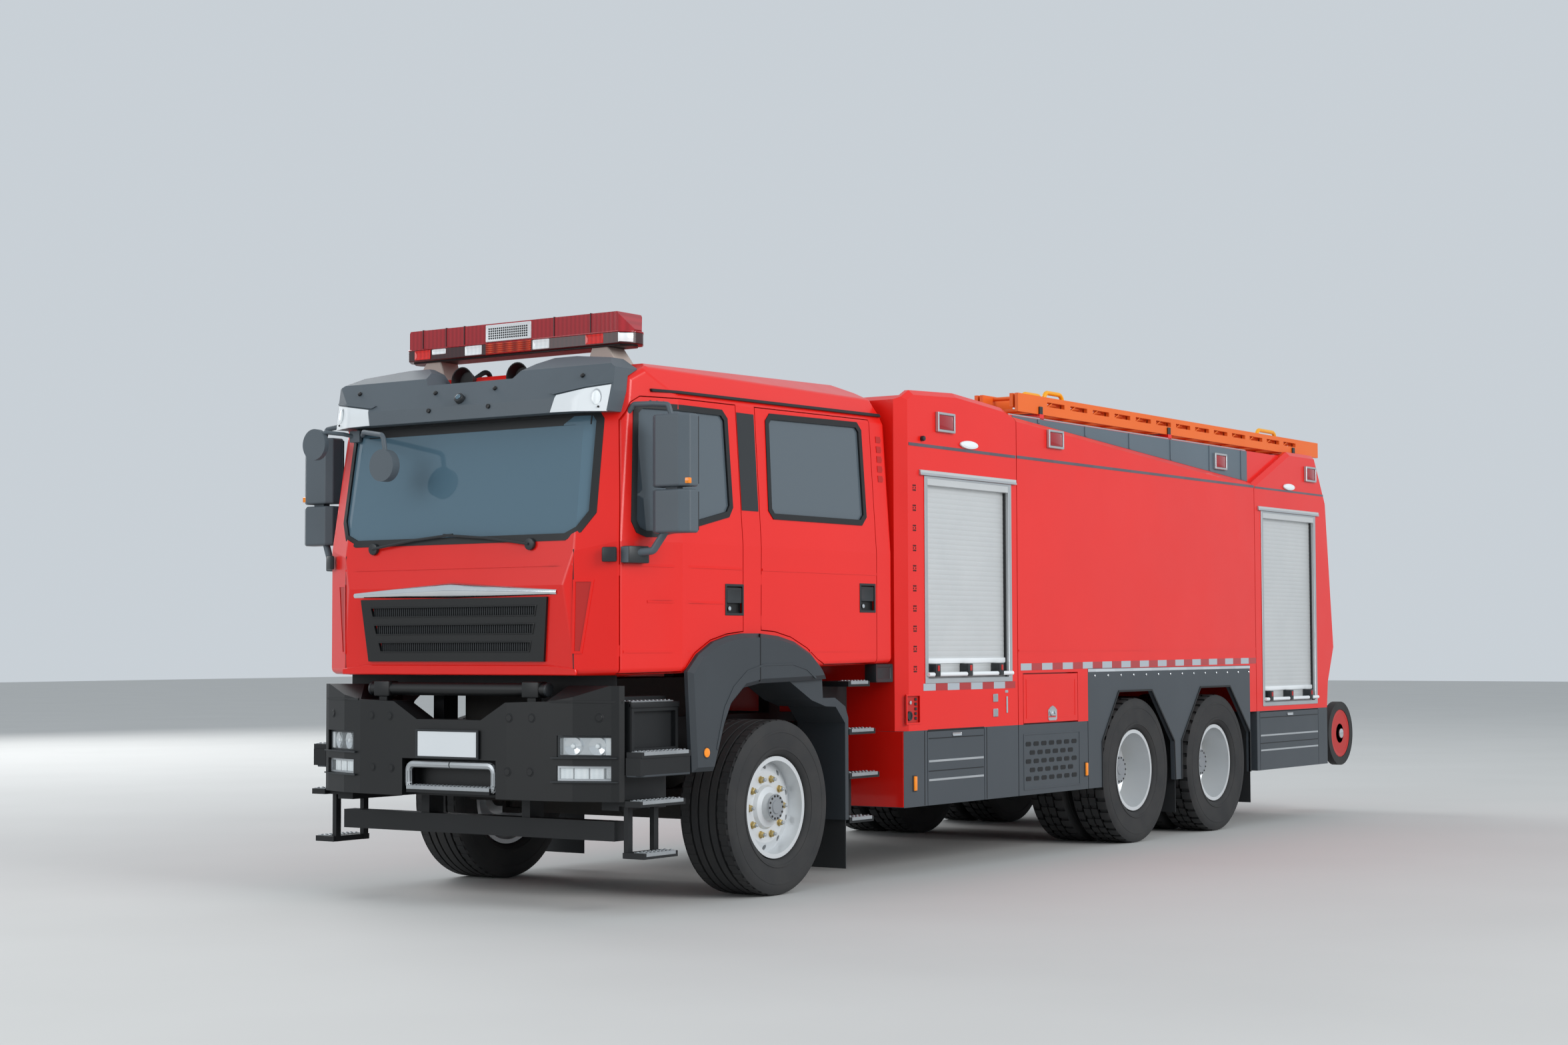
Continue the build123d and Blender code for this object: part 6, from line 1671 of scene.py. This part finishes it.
# %% Ladder and roof
BEAM_MIDDLES = (1160, 840)
for number, y in enumerate(BEAM_MIDDLES):
    brace = block("ladder_brace", (-3460, -3330), (y - 9, y + 9), (3128, 3136), 2, tilt=(0, 0.42, 0))
    copies(brace, [(-345 * i, 0, 0) for i in range(1, 13)])
    finished(brace, LADDER_ORANGE)
    brace.name = brace.data.name = "ladder_braces_%d" % number
for number, x in enumerate((-3260, -5300, -7700)):
    corners = [(820, 3062), (1186, 3062), (1186, 3120), (1176, 3120), (1176, 3074), (830, 3074),
               (830, 3120), (820, 3120)]
    bracket = sheet_from("ladder_bracket_%d" % number, corners, x - 22, x + 22, "X", 2)
    finished(bracket, HANDLE_BLACK)
strip = block("roof_edge_strip_left", (-6700, -2800), (1150, 1188), (3028, 3038), 2)
both(strip, RAIL_ALUMINIUM_AND_EDGE_HIGHLIGHT)
plate = block("roof_walkway", (-6400, -3000), (-420, 420), (3029, 3034), 1)
finished(plate, TREAD_ALUMINIUM)
grip_tooth = disc("roof_walkway_teeth", (-6360, -380, 3035), 11, 8, "Z", 8, 0)
copies(grip_tooth, [(120 * i, 95 * j, 0) for i in range(28) for j in range(9) if i or j])
finished(grip_tooth, TREAD_ALUMINIUM, smooth=0)
for number, (x, y) in enumerate(((-2060, 500), (-2060, -500))):
    z = 2962
    lid = block("roof_hatch_%d" % number, (x - 230, x + 230), (y - 230, y + 230), (z - 2, z + 34), 16,
                3)
    finished(lid, FIRE_RED)
    path = [(x - 60, y + 150, z + 30), (x - 60, y + 150, z + 62), (x + 60, y + 150, z + 62),
            (x + 60, y + 150, z + 30)]
    grip = tube("roof_hatch_grip_%d" % number, path, 7, 10, 14)
    finished(grip, HANDLE_BLACK)
vent = block("cab_roof_vent", (-420, 120), (-300, 300), (3060, 3112), 18, 3)
finished(vent, FIRE_RED)
print("roof done, pieces", len(made))

# %% [markdown]
# A seat pad is foam under cloth: its middle crowns, and its sides pull in between the corners. A
# subdivided block is swelled along its crown, drawn in along its sides and smoothed once.

# %% Seat pads
PAD_SIDES, PAD_PULL = 0.97, 0.02   # share of the half width at the sides, and how far it changes


def foam_pad(name, xs, ys, zs, crown, axis):
    """Padded cushion between limits in mm; axis is the way its middle swells, 0 for X, 2 for Z."""
    pad = block(name, xs, ys, zs, 0)
    edit(pad)
    bpy.ops.mesh.select_all(action="SELECT")
    bpy.ops.mesh.subdivide(number_cuts=7)
    close_edit()
    low = at(xs[0], ys[0], zs[0])
    high = at(xs[1], ys[1], zs[1])
    middle, half = (low + high) / 2, (high - low) / 2
    flat = [i for i in range(3) if i != axis]
    for vertex in pad.data.vertices:
        share = [(vertex.co[i] - middle[i]) / half[i] for i in range(3)]
        a, b = flat
        rise = (1 - share[a] ** 2) * (1 - share[b] ** 2)
        edge = max(0.0, 1 - share[axis] ** 2)
        wide = PAD_SIDES + PAD_PULL * edge
        vertex.co[a] = middle[a] + half[a] * share[a] * (wide - PAD_PULL * (1 - share[b] ** 2))
        vertex.co[b] = middle[b] + half[b] * share[b] * (wide - PAD_PULL * (1 - share[a] ** 2))
        vertex.co[axis] += crown / 1000 * rise * share[axis]
    modifier = pad.modifiers.new("soft", "SUBSURF")
    modifier.levels = modifier.render_levels = 1
    bpy.context.view_layer.objects.active = pad
    bpy.ops.object.modifier_apply(modifier="soft")
    return pad


def leant(pad, middle_z, slope):
    """Lean a back pad like the seat back it lies on."""
    return moved(pad, lambda c: Vector((c.x - slope * (c.z - middle_z), c.y, c.z)))


CUSHION_Z, BACK_Z, BACK_MIDDLE = (1726, 1770), (1800, 2440), 2.12
pads = []
for number, y in enumerate((560, -560)):
    pads.append(foam_pad("seat_cushion_%d" % number, (440, 846), (y - 236, y + 236), CUSHION_Z, 14, 2))
    back = foam_pad("seat_back_pad_%d" % number, (426, 466), (y - 222, y + 222), BACK_Z, 12, 0)
    pads.append(leant(back, BACK_MIDDLE, 0.0795))
    pads.append(foam_pad("head_rest_%d" % number, (384, 432), (y - 120, y + 120), (2460, 2560), 8, 0))
for number, y in enumerate((-750, -250, 250, 750)):
    pads.append(foam_pad("bench_cushion_%d" % number, (-930, -525), (y - 240, y + 240), CUSHION_Z, 14,
                         2))
    back = foam_pad("bench_back_pad_%d" % number, (-986, -946), (y - 192, y + 192), BACK_Z, 12, 0)
    pads.append(leant(back, BACK_MIDDLE, 0.0952))
for pad in pads:
    finished(pad, SEAT_CLOTH, smooth=60)
print("seat pads done, pieces", len(made))

# %% [markdown]
# The last cell counts the triangles of the added pieces and names the four largest.

# %% Sizes and finish
bpy.context.view_layer.update()
triangles = {piece.name: sum(len(face.vertices) - 2 for face in piece.data.polygons) for piece in made}
largest = sorted(triangles.items(), key=lambda pair: -pair[1])[:4]
print("pieces", len(made), "triangles", sum(triangles.values()), "largest", largest)
